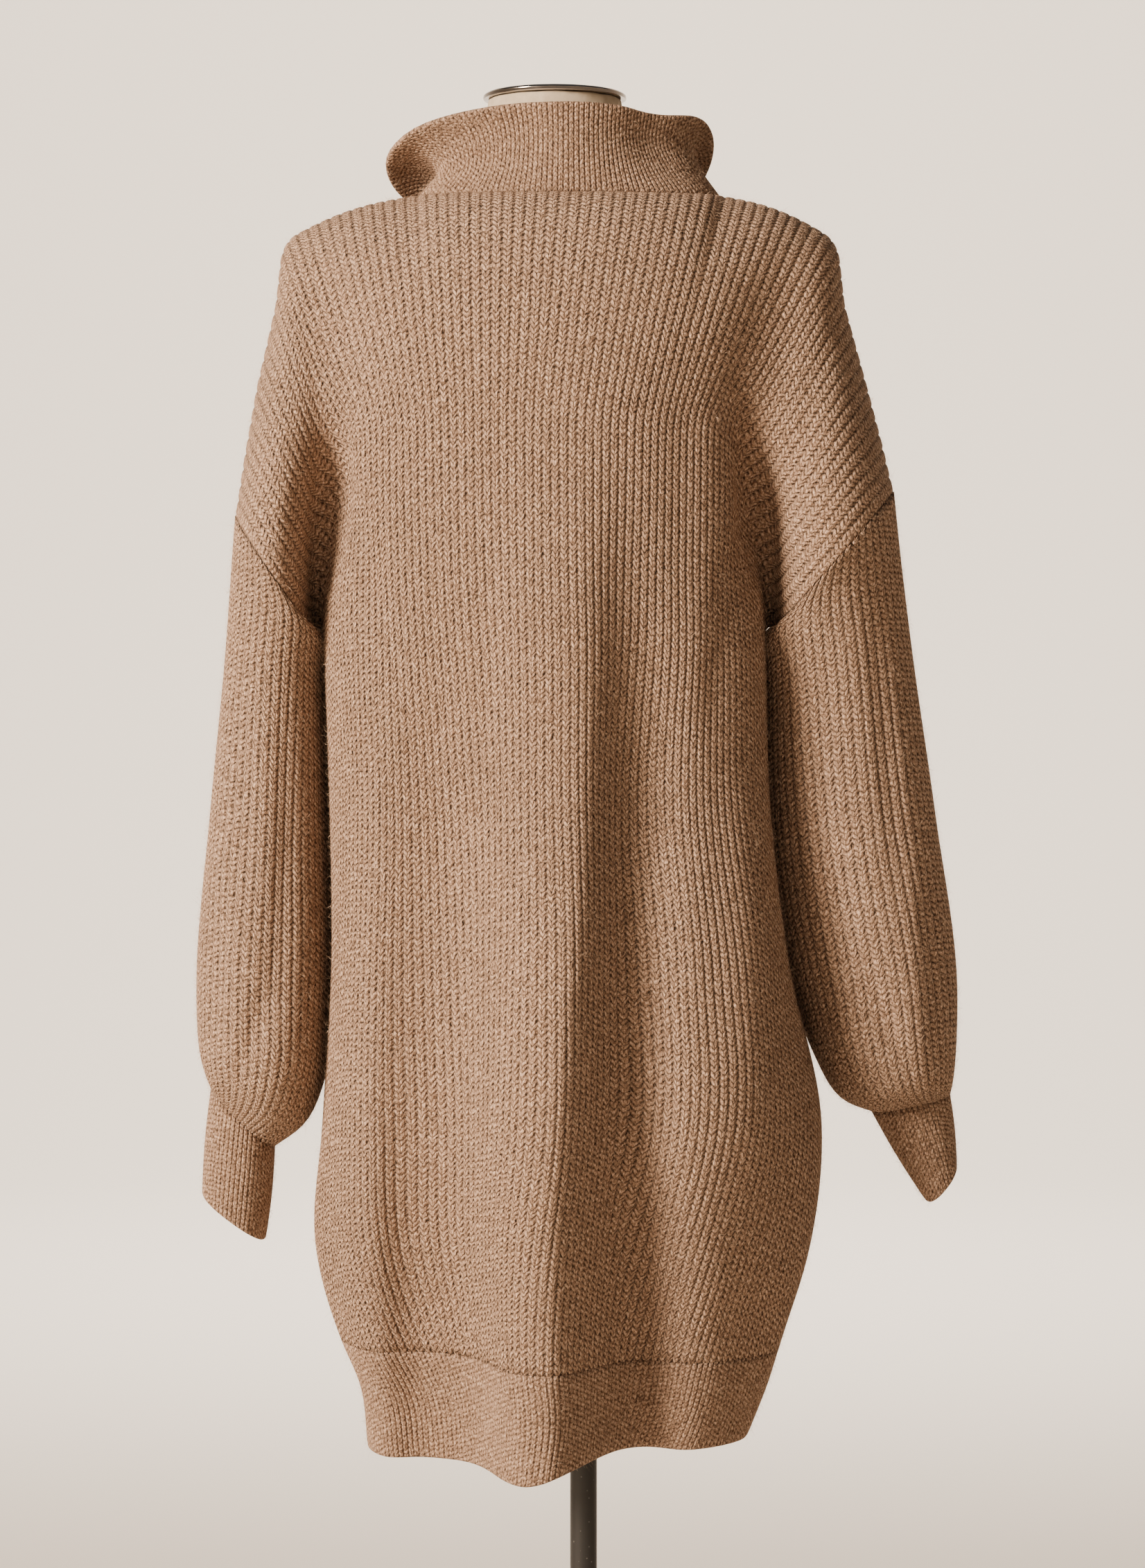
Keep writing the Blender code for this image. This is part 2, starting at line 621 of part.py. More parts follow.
def make_collar(panels):
    back = panels["back_panel"][0]
    front = panels["front_panel"][0][:, ::-1]
    first, last = neck_columns(back)
    middle = (first + last) // 2
    right_half = split(front[0, first:middle][::-1], 2)
    left_half = split(front[0, middle + 1:last + 1][::-1], 2)
    back_part = split(back[0, first:last + 1], 2)
    seam = np.concatenate([right_half[:-1], back_part, left_half[1:]])
    spare = (len(seam) - 1) % COLLAR_STEP + COLLAR_STEP
    seam = seam[spare // 2:len(seam) - (spare - spare // 2)]
    out = neck_direction(seam)
    rise = unit(np.cross(np.gradient(seam, axis=0), out))
    rise *= np.where(rise[:, 2:3] < 0, -1.0, 1.0)
    flat = into_plane(out, UP)
    behind = np.arcsin(np.clip(seam[:, 1] / BACK_NECK_DEPTH, 0.0, 1.0)) / (math.pi / 2)
    round_neck = np.where(seam[:, 1] > 0, -behind, -seam[:, 1] / FRONT_NECK_DEPTH)
    left_share = np.clip((seam[:, 0] - NECK_RIGHT) / (NECK_LEFT - NECK_RIGHT), 0.0, 1.0)
    corner = np.exp(-((seam[:, 1:2] / NECK_CORNER) ** 2))
    rows = [eased(seam, COLLAR_FOOT_EASE) + rise * COLLAR_GAP + UP * CORNER_LIFT * corner]
    line = seam
    for strip_right, strip_left in zip(COLLAR_RIGHT, COLLAR_LEFT):
        on_right = np.interp(round_neck, COLLAR_STOPS, strip_right[1:])
        on_left = np.interp(round_neck, COLLAR_STOPS, strip_left[1:])
        lean = np.radians(on_right + (on_left - on_right) * left_share)[:, None]
        width = strip_right[0] + (strip_left[0] - strip_right[0]) * left_share[:, None]
        line = line + width * (np.cos(lean) * UP + np.sin(lean) * flat)
        rows.append(eased(line, COLLAR_EASE))
    points = np.array(rows)
    normals = grid_normals(points, closed=False)
    facing = np.sign(np.sum(normals * out, axis=-1).sum())
    normals *= facing
    normals[0] = unit(eased(out, COLLAR_EASE))
    add_wall("collar", points, normals, FINE_WALL, FINE_RISE, "fine_rib", COLLAR_STEP)


# ---- dress form and stand -------------------------------------------------------------------

def make_form():
    angles = np.linspace(0.0, 2 * math.pi, FORM_SIDES + 1)[:-1]
    rows = []
    for height, centre, half, back, front, roundness in FORM_SECTIONS:
        power = 2.0 / roundness
        x = centre + half * np.sign(np.cos(angles)) * np.abs(np.cos(angles)) ** power
        depth = np.where(np.sin(angles) > 0, back, front)
        y = depth * np.sign(np.sin(angles)) * np.abs(np.sin(angles)) ** power
        rows.append(np.stack([x, y, np.full_like(x, height)], axis=-1))
    count = FORM_SIDES
    faces = [tuple(range(count))]
    for r in range(len(rows) - 1):
        for c in range(count):
            after = (c + 1) % count
            low = r * count
            high = low + count
            faces.append((low + c, low + after, high + after, high + c))
    top = (len(rows) - 1) * count
    faces.append(tuple(range(top, top + count)))
    add_mesh("form_body", np.concatenate(rows), faces, "linen")


def turned(name, profile, location, look, steps):
    """A turned piece: its profile runs down its outer side and is closed on the axis."""
    mesh = bpy.data.meshes.new(name)
    edges = [(i, i + 1) for i in range(len(profile) - 1)]
    mesh.from_pydata([(r, 0.0, z) for r, z in profile], edges, [])
    mesh.materials.append(MATERIALS[look])
    made = bpy.data.objects.new(name, mesh)
    made.location = location
    PARTS.objects.link(made)
    screw = made.modifiers.new("turn", "SCREW")
    screw.steps = steps
    screw.render_steps = steps
    screw.use_merge_vertices = True
    screw.merge_threshold = 0.00001
    return made


def make_stand():
    form_top = FORM_SECTIONS[-1][0]
    form_bottom = FORM_SECTIONS[0][0]
    cap = [(0.0, CAP_HEIGHT), (CAP_RADIUS - 0.0030, CAP_HEIGHT),
           (CAP_RADIUS - 0.0010, CAP_HEIGHT - 0.0006), (CAP_RADIUS, CAP_HEIGHT - 0.0018),
           (CAP_RADIUS, 0.0008), (CAP_RADIUS - 0.0008, 0.0), (0.0, 0.0)]
    turned("neck_cap", cap, (FORM_SECTIONS[-1][1], 0.0, form_top + SEAM_GAP), "chrome",
           TURNED_STEPS)
    base = [(0.0, SOCKET_HEIGHT), (SOCKET_RADIUS - 0.003, SOCKET_HEIGHT),
            (SOCKET_RADIUS, SOCKET_HEIGHT - 0.003), (SOCKET_RADIUS, BASE_PLATE + 0.010),
            (SOCKET_RADIUS + 0.010, BASE_PLATE + 0.001), (BASE_RADIUS - 0.003, BASE_PLATE),
            (BASE_RADIUS, BASE_PLATE - 0.003), (BASE_RADIUS, 0.0), (0.0, 0.0)]
    turned("base", base, (0.0, 0.0, 0.0), "black_steel", TURNED_STEPS)
    length = form_bottom - SOCKET_HEIGHT - 2 * SEAM_GAP
    bpy.ops.mesh.primitive_cylinder_add(
        vertices=POLE_SIDES, radius=POLE_RADIUS, depth=length,
        location=(0.0, 0.0, SOCKET_HEIGHT + SEAM_GAP + length / 2))
    pole = bpy.context.object
    pole.name = "pole"
    pole.data.materials.append(MATERIALS["black_steel"])
    for holder in list(pole.users_collection):
        holder.objects.unlink(pole)
    PARTS.objects.link(pole)


# ---- the whole object -----------------------------------------------------------------------

def make_material(name):
    colour, roughness, metallic = COLOURS[name]
    material = bpy.data.materials.new(name)
    material.use_nodes = True
    shader = material.node_tree.nodes["Principled BSDF"]
    shader.inputs["Base Color"].default_value = (*colour, 1.0)
    shader.inputs["Roughness"].default_value = roughness
    shader.inputs["Metallic"].default_value = metallic
    return material


for old in list(bpy.data.objects):
    bpy.data.objects.remove(old, do_unlink=True)
PARTS = bpy.data.collections.new("sweater_dress_on_form")
bpy.context.scene.collection.children.link(PARTS)
MATERIALS = {name: make_material(name) for name in COLOURS}

body_panels = make_panels()
make_hem_bands()
make_sleeves(body_panels)
make_collar(body_panels)
make_form()
make_stand()
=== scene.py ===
"""A sweater dress in chunky half-cardigan rib, hanging on a limbless dress form.

Metres, +Z up. The garment faces -Y and the wearer's right is -X. The camera stands behind it.
"""
import json
import math

import bpy
import numpy as np
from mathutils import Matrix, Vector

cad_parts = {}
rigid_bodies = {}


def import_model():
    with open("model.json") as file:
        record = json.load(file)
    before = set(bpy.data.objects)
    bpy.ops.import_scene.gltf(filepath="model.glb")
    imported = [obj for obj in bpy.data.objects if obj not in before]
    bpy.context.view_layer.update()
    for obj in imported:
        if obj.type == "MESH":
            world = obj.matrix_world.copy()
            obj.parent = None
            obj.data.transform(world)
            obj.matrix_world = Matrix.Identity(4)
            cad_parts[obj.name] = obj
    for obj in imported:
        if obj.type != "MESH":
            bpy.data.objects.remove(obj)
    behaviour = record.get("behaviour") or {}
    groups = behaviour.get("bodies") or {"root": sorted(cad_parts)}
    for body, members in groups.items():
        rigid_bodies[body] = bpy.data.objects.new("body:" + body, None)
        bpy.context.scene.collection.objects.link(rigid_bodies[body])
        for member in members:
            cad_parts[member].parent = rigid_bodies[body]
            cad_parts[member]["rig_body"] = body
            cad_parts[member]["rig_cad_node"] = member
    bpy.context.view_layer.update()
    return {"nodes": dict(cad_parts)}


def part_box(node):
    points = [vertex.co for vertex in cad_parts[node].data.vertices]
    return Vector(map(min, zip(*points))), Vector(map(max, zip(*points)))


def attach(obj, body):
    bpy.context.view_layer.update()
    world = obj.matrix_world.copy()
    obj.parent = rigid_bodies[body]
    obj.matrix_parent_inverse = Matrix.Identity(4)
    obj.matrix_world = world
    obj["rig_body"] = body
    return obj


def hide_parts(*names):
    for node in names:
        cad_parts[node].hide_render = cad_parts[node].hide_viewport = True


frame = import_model()


# ---- Body panels ----
# Back and front are each one wide piece of half-cardigan rib, knitted to shape with the upper
# arm in one with the body. They are linked together over the shoulders, down the outer arms
# and down the sides. The wall is a plain inside with rounded ribs standing out of it.

# A knit: how thick it is in the grooves, how far ribs rise, how long a course is, then the
# yarn's slant in a rib, the strength of its relief and its tone
RIB_KNIT = (0.003, 0.0011, 0.0042, (0.8, 1.0, 1.0))
FINE_KNIT = (0.0028, 0.001, 0.0034, (0.4, 0.55, 0.8))
# How far into a rib its surface is sunk: places across one rib, then shares of the rise
RIB_SHAPE = ((0.0, 0.167, 0.333, 0.5, 0.667, 0.833, 1.0), (1.0, 0.34, 0.0, 0.16, 0.0, 0.34, 1.0))
SEAM_GAP = 0.00004
NORMAL_STEP = 0.01
BODY_RIBS = 86
COLUMNS_A_RIB = 6
# Rows at a free edge: how far from it each lies, and the share of the wall rolled in there
ROLL_AT = np.array([0.0016, 0.0008, 0.0002, 0.0])
ROLLED_IN = np.array([0.04, 0.14, 0.32, 0.52])
# The share of a rib pressed flat in each of the first rows under a seam
PRESSED = np.array([0.9, 0.3, 0.08])

UNDERARM_HEIGHT = 1.0915
BAND_SEAM_HEIGHT = 0.5843
HEM_HEIGHT = 0.512
TWIST_AT_HEM = math.radians(-11.0)
UNDERARM_LEDGE = 0.0075
SECTION_POINTS = 241
SECTION_POWER = 2.35
BODY_EDGE_SQUEEZE = 0.12

YOKE_STEPS = 30
YOKE_FALL = 1.45
LEVELS_CUT = 90
BODY_STEPS = 60
PANEL_ROWS = 131
PANEL_SOFTENING = 6
SEAM_EASING = 12
SHOULDER_ROUNDING = 8
SHOULDER_SHARE = 0.59
SHOULDER_TIP = 0.035
SHOULDER_CROWN = 0.006
ARM_STARTS = 0.5
ARM_DEPTH = 0.075
NECK_RIGHT = -0.096
NECK_LEFT = 0.1163
NECK_CENTRE = (NECK_LEFT + NECK_RIGHT) / 2
NECK_HALF = (NECK_LEFT - NECK_RIGHT) / 2
NECK_HEIGHT = 1.396
BACK_NECK_DEPTH = 0.06
BACK_NECK_DROP = 0.004
FRONT_NECK_DEPTH = 0.088
FRONT_NECK_DROP = 0.082
FRONT_NECK_POINT = 1.35
FRONT_NECK_ROUND = 0.6
ARM_LINE_RIGHT = [(-0.18, 1.364), (-0.185, 1.319), (-0.201, 1.26), (-0.211, 1.221),
                  (-0.219, 1.187)]
ARM_LINE_LEFT = [(0.2127, 1.364), (0.2176, 1.319), (0.231, 1.26), (0.239, 1.213),
                 (0.2455, 1.17)]
CREASE_AT = 0.56
CREASE_HALF_WIDTH = 0.12
CREASE_DEPTH = 0.018
CREASE_RISE = 0.14
CREASE_REACH = 0.93

BODY_LEVELS = [
    # height, left seam, right seam, back depth, front depth
    (1.0915, 0.184, -0.1275, 0.116, 0.134),
    (0.97, 0.1795, -0.1277, 0.106, 0.126),
    (0.85, 0.1781, -0.1457, 0.12, 0.124),
    (0.74, 0.185, -0.168, 0.112, 0.132),
    (0.65, 0.1918, -0.1585, 0.082, 0.128),
    (0.5843, 0.1745, -0.138, 0.06, 0.118),
    (0.555, 0.1612, -0.13, 0.054, 0.111),
    (0.512, 0.1554, -0.1155, 0.048, 0.104),
]
FOLDS = [
    # side, across at top, across at hem, left width, right width, start, rise, growth
    (1, 0.012, 0.003, 0.05, 0.034, 1.24, 0.09, 1.2),
    (1, 0.152, 0.142, 0.024, 0.024, 1.08, 0.024, 0.8),
    (1, -0.092, -0.096, 0.032, 0.03, 1.12, 0.026, 0.8),
    (-1, 0.08, 0.078, 0.036, 0.036, 1.1, 0.034, 1.0),
    (-1, -0.048, -0.042, 0.036, 0.036, 1.13, 0.046, 1.1),
]
FOLD_FLATNESS = 2.6
# Soft creases: a line of (across, height) points, half width, depth (a ridge is negative)
BACK_CREASES = [
    ([(0.104, 1.14), (0.098, 0.94), (0.092, 0.76), (0.084, 0.58)], 0.03, 0.012),
    ([(-0.03, 1.18), (-0.036, 1.0), (-0.042, 0.82), (-0.05, 0.62)], 0.024, 0.007),
    ([(-0.113, 1.1), (-0.114, 0.96), (-0.122, 0.8), (-0.134, 0.64)], 0.017, -0.009),
    ([(-0.11, 1.26), (-0.1165, 1.2), (-0.1215, 1.12)], 0.011, 0.01),
    ([(0.168, 1.25), (0.174, 1.18), (0.178, 1.11)], 0.011, 0.009),
    ([(-0.128, 1.2), (-0.104, 1.12), (-0.086, 1.02)], 0.012, 0.0035),
    ([(0.166, 1.2), (0.146, 1.12), (0.134, 1.04)], 0.012, 0.0035),
    ([(0.06, 1.2), (0.066, 1.06), (0.07, 0.9)], 0.014, 0.003),
    ([(-0.07, 1.3), (-0.066, 1.18), (-0.07, 1.06)], 0.016, 0.002),
    ([(0.19, 1.3), (0.18, 1.22), (0.168, 1.15)], 0.01, 0.0025),
    ([(-0.17, 1.29), (-0.15, 1.22), (-0.136, 1.15)], 0.01, 0.0025),
]
FRONT_CREASES = [
    ([(0.12, 1.04), (0.118, 0.86), (0.11, 0.68), (0.104, 0.56)], 0.013, 0.005),
    ([(0.02, 1.18), (0.018, 0.98), (0.012, 0.78), (0.01, 0.6)], 0.014, 0.0055),
    ([(-0.11, 1.1), (-0.104, 0.92), (-0.1, 0.72)], 0.013, 0.0045),
    ([(-0.15, 1.24), (-0.118, 1.14), (-0.094, 1.04)], 0.012, 0.0035),
    ([(0.176, 1.24), (0.15, 1.14), (0.132, 1.05)], 0.012, 0.0035),
]

UP = np.array([0.0, 0.0, 1.0])
ACROSS_SEAM = np.array([0.0, 1.0, 0.0])


def unit(vectors):
    lengths = np.linalg.norm(vectors, axis=-1, keepdims=True)
    return vectors / np.maximum(lengths, 1e-9)


def eased_share(t):
    return t * t * (3.0 - 2.0 * t)


def evenly(count):
    return np.linspace(0.0, 1.0, count)


def step_lengths(points):
    return np.linalg.norm(np.diff(points, axis=0), axis=-1)


def link(made):
    bpy.context.scene.collection.objects.link(made)
    return made


def into_plane(vectors, plane):
    """The same directions laid into the plane with the given normal."""
    return unit(vectors - np.sum(vectors * plane, axis=-1, keepdims=True) * plane)


def smooth_rows(points, at, wanted):
    """Rows of cloth between the given ones, on a smooth curve down each column."""
    slopes = np.gradient(points, at, axis=0)
    place = np.clip(np.searchsorted(at, wanted, side="right") - 1, 0, len(at) - 2)
    width = (at[place + 1] - at[place])[:, None, None]
    t = (wanted - at[place])[:, None, None] / width
    start = (2 * t**3 - 3 * t**2 + 1) * points[place]
    start += (t**3 - 2 * t**2 + t) * width * slopes[place]
    end = (3 * t**2 - 2 * t**3) * points[place + 1]
    return start + end + (t**3 - t**2) * width * slopes[place + 1]


def row_places(points):
    """How far down the cloth each row lies, on average."""
    return np.concatenate([[0.0], np.cumsum(step_lengths(points).mean(axis=1))])


def dense_rows(points, count):
    """Even rows from closely spaced ones, by each column's own length and the average."""
    steps = np.cumsum(step_lengths(points), axis=0)
    lengths = np.concatenate([np.zeros((1, points.shape[1])), steps])
    places = row_places(points)[:, None]
    lengths = 0.5 * lengths / lengths[-1] + 0.5 * places / places[-1]
    wanted = evenly(count)
    return np.stack([np.stack([np.interp(wanted, lengths[:, k], points[:, k, axis])
                               for k in range(points.shape[1])], 1) for axis in range(3)], -1)


def along_line(line, shares):
    """Points at the given shares of a line's length."""
    line = np.asarray(line, dtype=float)
    lengths = np.concatenate([[0.0], np.cumsum(step_lengths(line))])
    wanted = np.asarray(shares) * lengths[-1]
    return np.stack([np.interp(wanted, lengths, line[:, k]) for k in range(line.shape[1])], -1)


def body_level(column, height):
    """One measure of the body at a height, by a smooth curve through the levels."""
    levels = np.array(sorted(BODY_LEVELS))
    at = levels[:, 0]
    height = np.clip([height], at[0], at[-1])
    return float(smooth_rows(levels[:, column, None, None], at, height)[0, 0, 0])


def squared(values, power):
    """Sines or cosines of a circle, pushed out towards a rounded square."""
    return np.sign(values) * np.abs(values) ** (2.0 / power)


def body_line(side, height):
    """The outline of one panel at a height, from the right seam to the left one."""
    left, right = body_level(1, height), body_level(2, height)
    angles = np.linspace(math.pi, 0.0, SECTION_POINTS)
    across = squared(np.cos(angles), SECTION_POWER)
    x = (left + right) / 2 + (left - right) / 2 * across
    y = body_level(3 if side > 0 else 4, height) * squared(np.sin(angles), SECTION_POWER)
    for fold_side, top, hem, on_left, on_right, start, rise, growth in FOLDS:
        if fold_side == side and height < start:
            share = (start - height) / (start - HEM_HEIGHT)
            centre = top + (hem - top) * share
            held = 1.0 - np.abs(across) ** 6
            away = np.abs(x - centre) / np.where(x > centre, on_left, on_right)
            y = y + rise * share**growth * np.exp(-(away**FOLD_FLATNESS)) * held
    return np.stack([x, side * y, np.full_like(x, height)], axis=-1)


def rib_shares(across):
    """Where each rib lies along a section: a little closer together near the seams."""
    spread = across * (1 - BODY_EDGE_SQUEEZE * across**2) / (1 - BODY_EDGE_SQUEEZE)
    return (spread + 1) / 2


def neck_point(across, side):
    """A point of the neck seam; across runs from -1 at the right to 1 at the left."""
    x = NECK_CENTRE + NECK_HALF * across
    round_share = math.sqrt(max(0.0, 1.0 - across * across))
    if side > 0:
        return (x, BACK_NECK_DEPTH * round_share, NECK_HEIGHT - BACK_NECK_DROP * round_share)
    drop = FRONT_NECK_DROP * (1.0 - abs(across) ** FRONT_NECK_POINT)
    pointed = 1.0 - abs(across)
    depth = FRONT_NECK_DEPTH * (pointed + FRONT_NECK_ROUND * (round_share - pointed))
    return (x, -depth, NECK_HEIGHT - drop)


def top_point(share, side):
    """Where the rib at this share of the panel ends: neck, shoulder or outer arm."""
    line = ARM_LINE_LEFT if share > 0 else ARM_LINE_RIGHT
    if abs(share) >= SHOULDER_SHARE:
        x, z = along_line(line, [(abs(share) - SHOULDER_SHARE) / (1.0 - SHOULDER_SHARE)])[0]
        return (x, 0.0, z)
    right = ARM_LINE_RIGHT[0][0]
    x = right + (ARM_LINE_LEFT[0][0] - right) * (share / SHOULDER_SHARE + 1) / 2
    if NECK_RIGHT < x < NECK_LEFT:
        return neck_point((x - NECK_CENTRE) / NECK_HALF, side)
    neck = NECK_LEFT if share > 0 else NECK_RIGHT
    out = (x - neck) / (line[0][0] - neck)
    slope = NECK_HEIGHT + (line[0][1] - NECK_HEIGHT) * out
    return (x, 0.0, slope + SHOULDER_CROWN * math.sin(math.pi * out))


def eased(points, reach):
    """The same line with its corners rounded off and its two ends nearly kept."""
    padded = np.pad(points, ((reach, reach), (0, 0)), mode="edge")
    return sum(padded[k:k + len(points)] for k in range(2 * reach + 1)) / (2 * reach + 1)


def softened(points, times):
    """Evens the cloth out between its edges, which stay where they are."""
    for _ in range(times):
        near = points[:-2, 1:-1] + points[2:, 1:-1] + points[1:-1, :-2] + points[1:-1, 2:]
        points[1:-1, 1:-1] = 0.5 * points[1:-1, 1:-1] + 0.125 * near
    return points


def panel_surface(side):
    """The outside of one panel at the tops of its ribs: rows down, columns right to left."""
    shares = np.linspace(-1.0, 1.0, BODY_RIBS * COLUMNS_A_RIB + 1)
    arm = np.clip((np.abs(shares) - ARM_STARTS) / (1.0 - ARM_STARTS), 0.0, 1.0)
    rise = np.sin(math.pi / 2 * np.minimum(1.0, (1.0 - np.abs(shares)) / (1.0 - ARM_STARTS)))
    arm = eased_share(arm)
    top = np.array([top_point(share, side) for share in shares])
    tip = np.exp(-(((np.abs(shares) - SHOULDER_SHARE) / SHOULDER_TIP) ** 4))[:, None]
    top += (eased(top, SHOULDER_ROUNDING) - top) * tip
    ledge = np.array([
        along_line(body_line(side, UNDERARM_HEIGHT + CREASE_RISE * up), [rib_shares(share)])[0]
        for share, up in zip(shares, rise)])
    under = ledge - UP * UNDERARM_LEDGE / 5
    ledge[:, 0] += UNDERARM_LEDGE * np.sign(shares) * arm
    crease = CREASE_DEPTH * np.exp(-(((np.abs(shares) - CREASE_AT) / CREASE_HALF_WIDTH) ** 2))
    rows = []
    for down in evenly(YOKE_STEPS + 1)[:-1]:
        fall = (1 - arm) * down**YOKE_FALL + arm * (1 - math.cos(math.pi * down)) / 2
        row = top + (ledge - top) * fall[:, None]
        rounding = np.sqrt(np.maximum(0.0, 1 - (1 - fall) ** 3))
        shoulder_y = top[:, 1] + (ledge[:, 1] - top[:, 1]) * rounding
        arm_y = side * ARM_DEPTH * math.sin(math.pi * down) + ledge[:, 1] * fall
        pressed = crease * math.sin(math.pi * min(1.0, down * CREASE_REACH)) ** 2 * down
        row[:, 1] = (1 - arm) * shoulder_y + arm * arm_y - side * pressed
        rows.append(row)
    rows += [ledge, under]
    heights = np.linspace(BAND_SEAM_HEIGHT + SEAM_GAP / 2, UNDERARM_HEIGHT + CREASE_RISE,
                          LEVELS_CUT)
    levels = np.array([along_line(body_line(side, height), rib_shares(shares))
                       for height in heights])
    for down in evenly(BODY_STEPS + 1)[1:]:
        row = under.copy()
        row[:, 2] += (heights[0] - under[:, 2]) * down
        for axis in (0, 1):
            row[:, axis] = [np.interp(z, heights, levels[:, k, axis])
                            for k, z in enumerate(row[:, 2])]
        rows.append(row)
    dense = np.array(rows)
    dense[..., 1] += side * SEAM_GAP / 2
    return softened(dense_rows(dense, PANEL_ROWS), PANEL_SOFTENING)


def grid_normals(points):
    return unit(np.cross(np.gradient(points, axis=1), np.gradient(points, axis=0)))


def armhole_plane(line, bottom):
    """The direction across the flat loop of an armhole."""
    x, z = line[-1]
    return unit(np.cross([bottom - x, 0.0, UNDERARM_HEIGHT - z], ACROSS_SEAM))


def neck_direction(points):
    """Half outward from the neck, half up: the neck edge's thickness runs this way."""
    outward = points - [NECK_CENTRE, 0.0, 0.0]
    outward[..., 2] = 0.0
    return unit(unit(outward) + UP)


def panel_normals(points, side):
    """Outward directions, laid flat along every seam so that the pieces meet edge to edge."""
    normals = grid_normals(points) * side
    x = points[0, :, 0]
    neck = (x > NECK_RIGHT) & (x < NECK_LEFT)
    slope = np.gradient(points[0], axis=0)
    tops = unit(np.cross(slope, ACROSS_SEAM))
    tops[neck] = neck_direction(points[0, neck])
    normals[0] = into_plane(eased(tops, SEAM_EASING), ACROSS_SEAM)
    normals[0, neck] = neck_direction(points[0, neck])
    under = int(np.argmin(np.abs(points[:, 0, 2] - UNDERARM_HEIGHT)))
    for column, line, out in ((0, ARM_LINE_RIGHT, -1), (-1, ARM_LINE_LEFT, 1)):
        bottom = body_level(1 if out > 0 else 2, UNDERARM_HEIGHT) + UNDERARM_LEDGE * out
        x, z = line[-1]
        middle = np.array([(x + bottom) / 2, 0.0, (z + UNDERARM_HEIGHT) / 2])
        loop = unit(points[:under + 1, column] - middle)
        normals[:under + 1, column] = into_plane(loop, armhole_plane(line, bottom))
        normals[under + 1:, column] = into_plane(normals[under + 1:, column], ACROSS_SEAM)
    normals[-1] = into_plane(normals[-1], UP)
    return normals


def hung(points):
    """Turns what hangs below the underarm a little about the upright axis."""
    share = (UNDERARM_HEIGHT - points[..., 2]) / (UNDERARM_HEIGHT - HEM_HEIGHT)
    angle = TWIST_AT_HEM * eased_share(np.clip(share, 0.0, 1.0))
    x, y = points[..., 0], points[..., 1]
    return np.stack([x * np.cos(angle) - y * np.sin(angle),
                     x * np.sin(angle) + y * np.cos(angle), points[..., 2]], axis=-1)


HELD_COLUMNS = 24
HELD_ROWS = 6
LINE_USED = 0.9


def trough(away, place, half_width, deep, start):
    """How deep a soft trough is, fading towards the two ends of its line."""
    fade = np.sin(math.pi * np.clip(place * LINE_USED + start, 0.0, 1.0))
    return deep * np.exp(-((away / half_width) ** 2)) * fade


def held_ends(count, reach):
    """0 at both ends of a run of rows or columns, rising to 1 within reach of them."""
    places = np.arange(count)
    return np.clip(np.minimum(places, places[::-1]) / reach, 0, 1)


def creased(points, normals, creases):
    """Presses soft troughs into the cloth, or lifts ridges, most at the middle of each line."""
    flat = points[..., [0, 2]]
    depth = np.zeros(points.shape[:2])
    for line, half_width, deep in creases:
        line = np.array(line)
        nearest = np.full(points.shape[:2], np.inf)
        place = np.zeros(points.shape[:2])
        for k, (start, end) in enumerate(zip(line[:-1], line[1:])):
            along = end - start
            t = np.clip(((flat - start) @ along) / (along @ along), 0.0, 1.0)
            away = np.linalg.norm(flat - start - t[..., None] * along, axis=-1)
            closer = away < nearest
            nearest = np.where(closer, away, nearest)
            place = np.where(closer, (k + t) / (len(line) - 1), place)
        depth += trough(nearest, place, half_width, deep, 0.05)
    rows, columns = points.shape[:2]
    held = held_ends(columns, HELD_COLUMNS) * held_ends(rows, HELD_ROWS)[:, None]
    return points - normals * (depth * held)[..., None]


def node(tree, kind, inputs=(), **settings):
    """A shader node. What it is given is either a constant or another node's output."""
    made = tree.nodes.new("ShaderNode" + kind)
    for key, value in settings.items():
        setattr(made, key, value)
    feed(tree, made, inputs)
    return made


def feed(tree, made, inputs):
    for socket, value in dict(inputs).items():
        if hasattr(value, "is_output"):
            tree.links.new(value, made.inputs[socket])
        else:
            made.inputs[socket].default_value = value


def maths(tree, operation, a, b=0.0, c=0.0):
    return node(tree, "Math", {0: a, 1: b, 2: c}, operation=operation).outputs[0]


def noise(tree, place, scale, detail, roughness=0.5):
    return node(tree, "TexNoise", {"Vector": place, "Scale": scale, "Detail": detail,
                                   "Roughness": roughness}).outputs[0]


def spread(tree, value, low, high, to_low=0.0, to_high=1.0, kind="LINEAR"):
    return node(tree, "MapRange", {"Value": value, "From Min": low, "From Max": high,
                                   "To Min": to_low, "To Max": to_high},
                interpolation_type=kind).outputs[0]


def blend(tree, share, first, second, kind="MIX"):
    """A colour mixed from two others, each given as three numbers or as a node's output."""
    first, second = ((*c, 1.0) if isinstance(c, tuple) else c for c in (first, second))
    return node(tree, "Mix", {"Factor": share, 6: first, 7: second}, data_type="RGBA",
                blend_type=kind).outputs[2]


def object_place(tree):
    return node(tree, "TexCoord").outputs["Object"]


def bumped(tree, strength, distance, height):
    return node(tree, "Bump", {"Strength": strength, "Distance": distance,
                               "Height": height}).outputs[0]


def new_group(name, takes, gives):
    """An empty node group. Its sockets are numbers, apart from one named Colour."""
    tree = bpy.data.node_groups.new(name, "ShaderNodeTree")
    for sockets, way in ((takes, "INPUT"), (gives, "OUTPUT")):
        for socket in sockets:
            kind = "NodeSocketColor" if socket == "Colour" else "NodeSocketFloat"
            tree.interface.new_socket(socket, in_out=way, socket_type=kind)
    return tree, tree.nodes.new("NodeGroupInput").outputs, tree.nodes.new("NodeGroupOutput")


def new_material(name):
    material = bpy.data.materials.new(name)
    material.use_nodes = True
    return material, material.node_tree


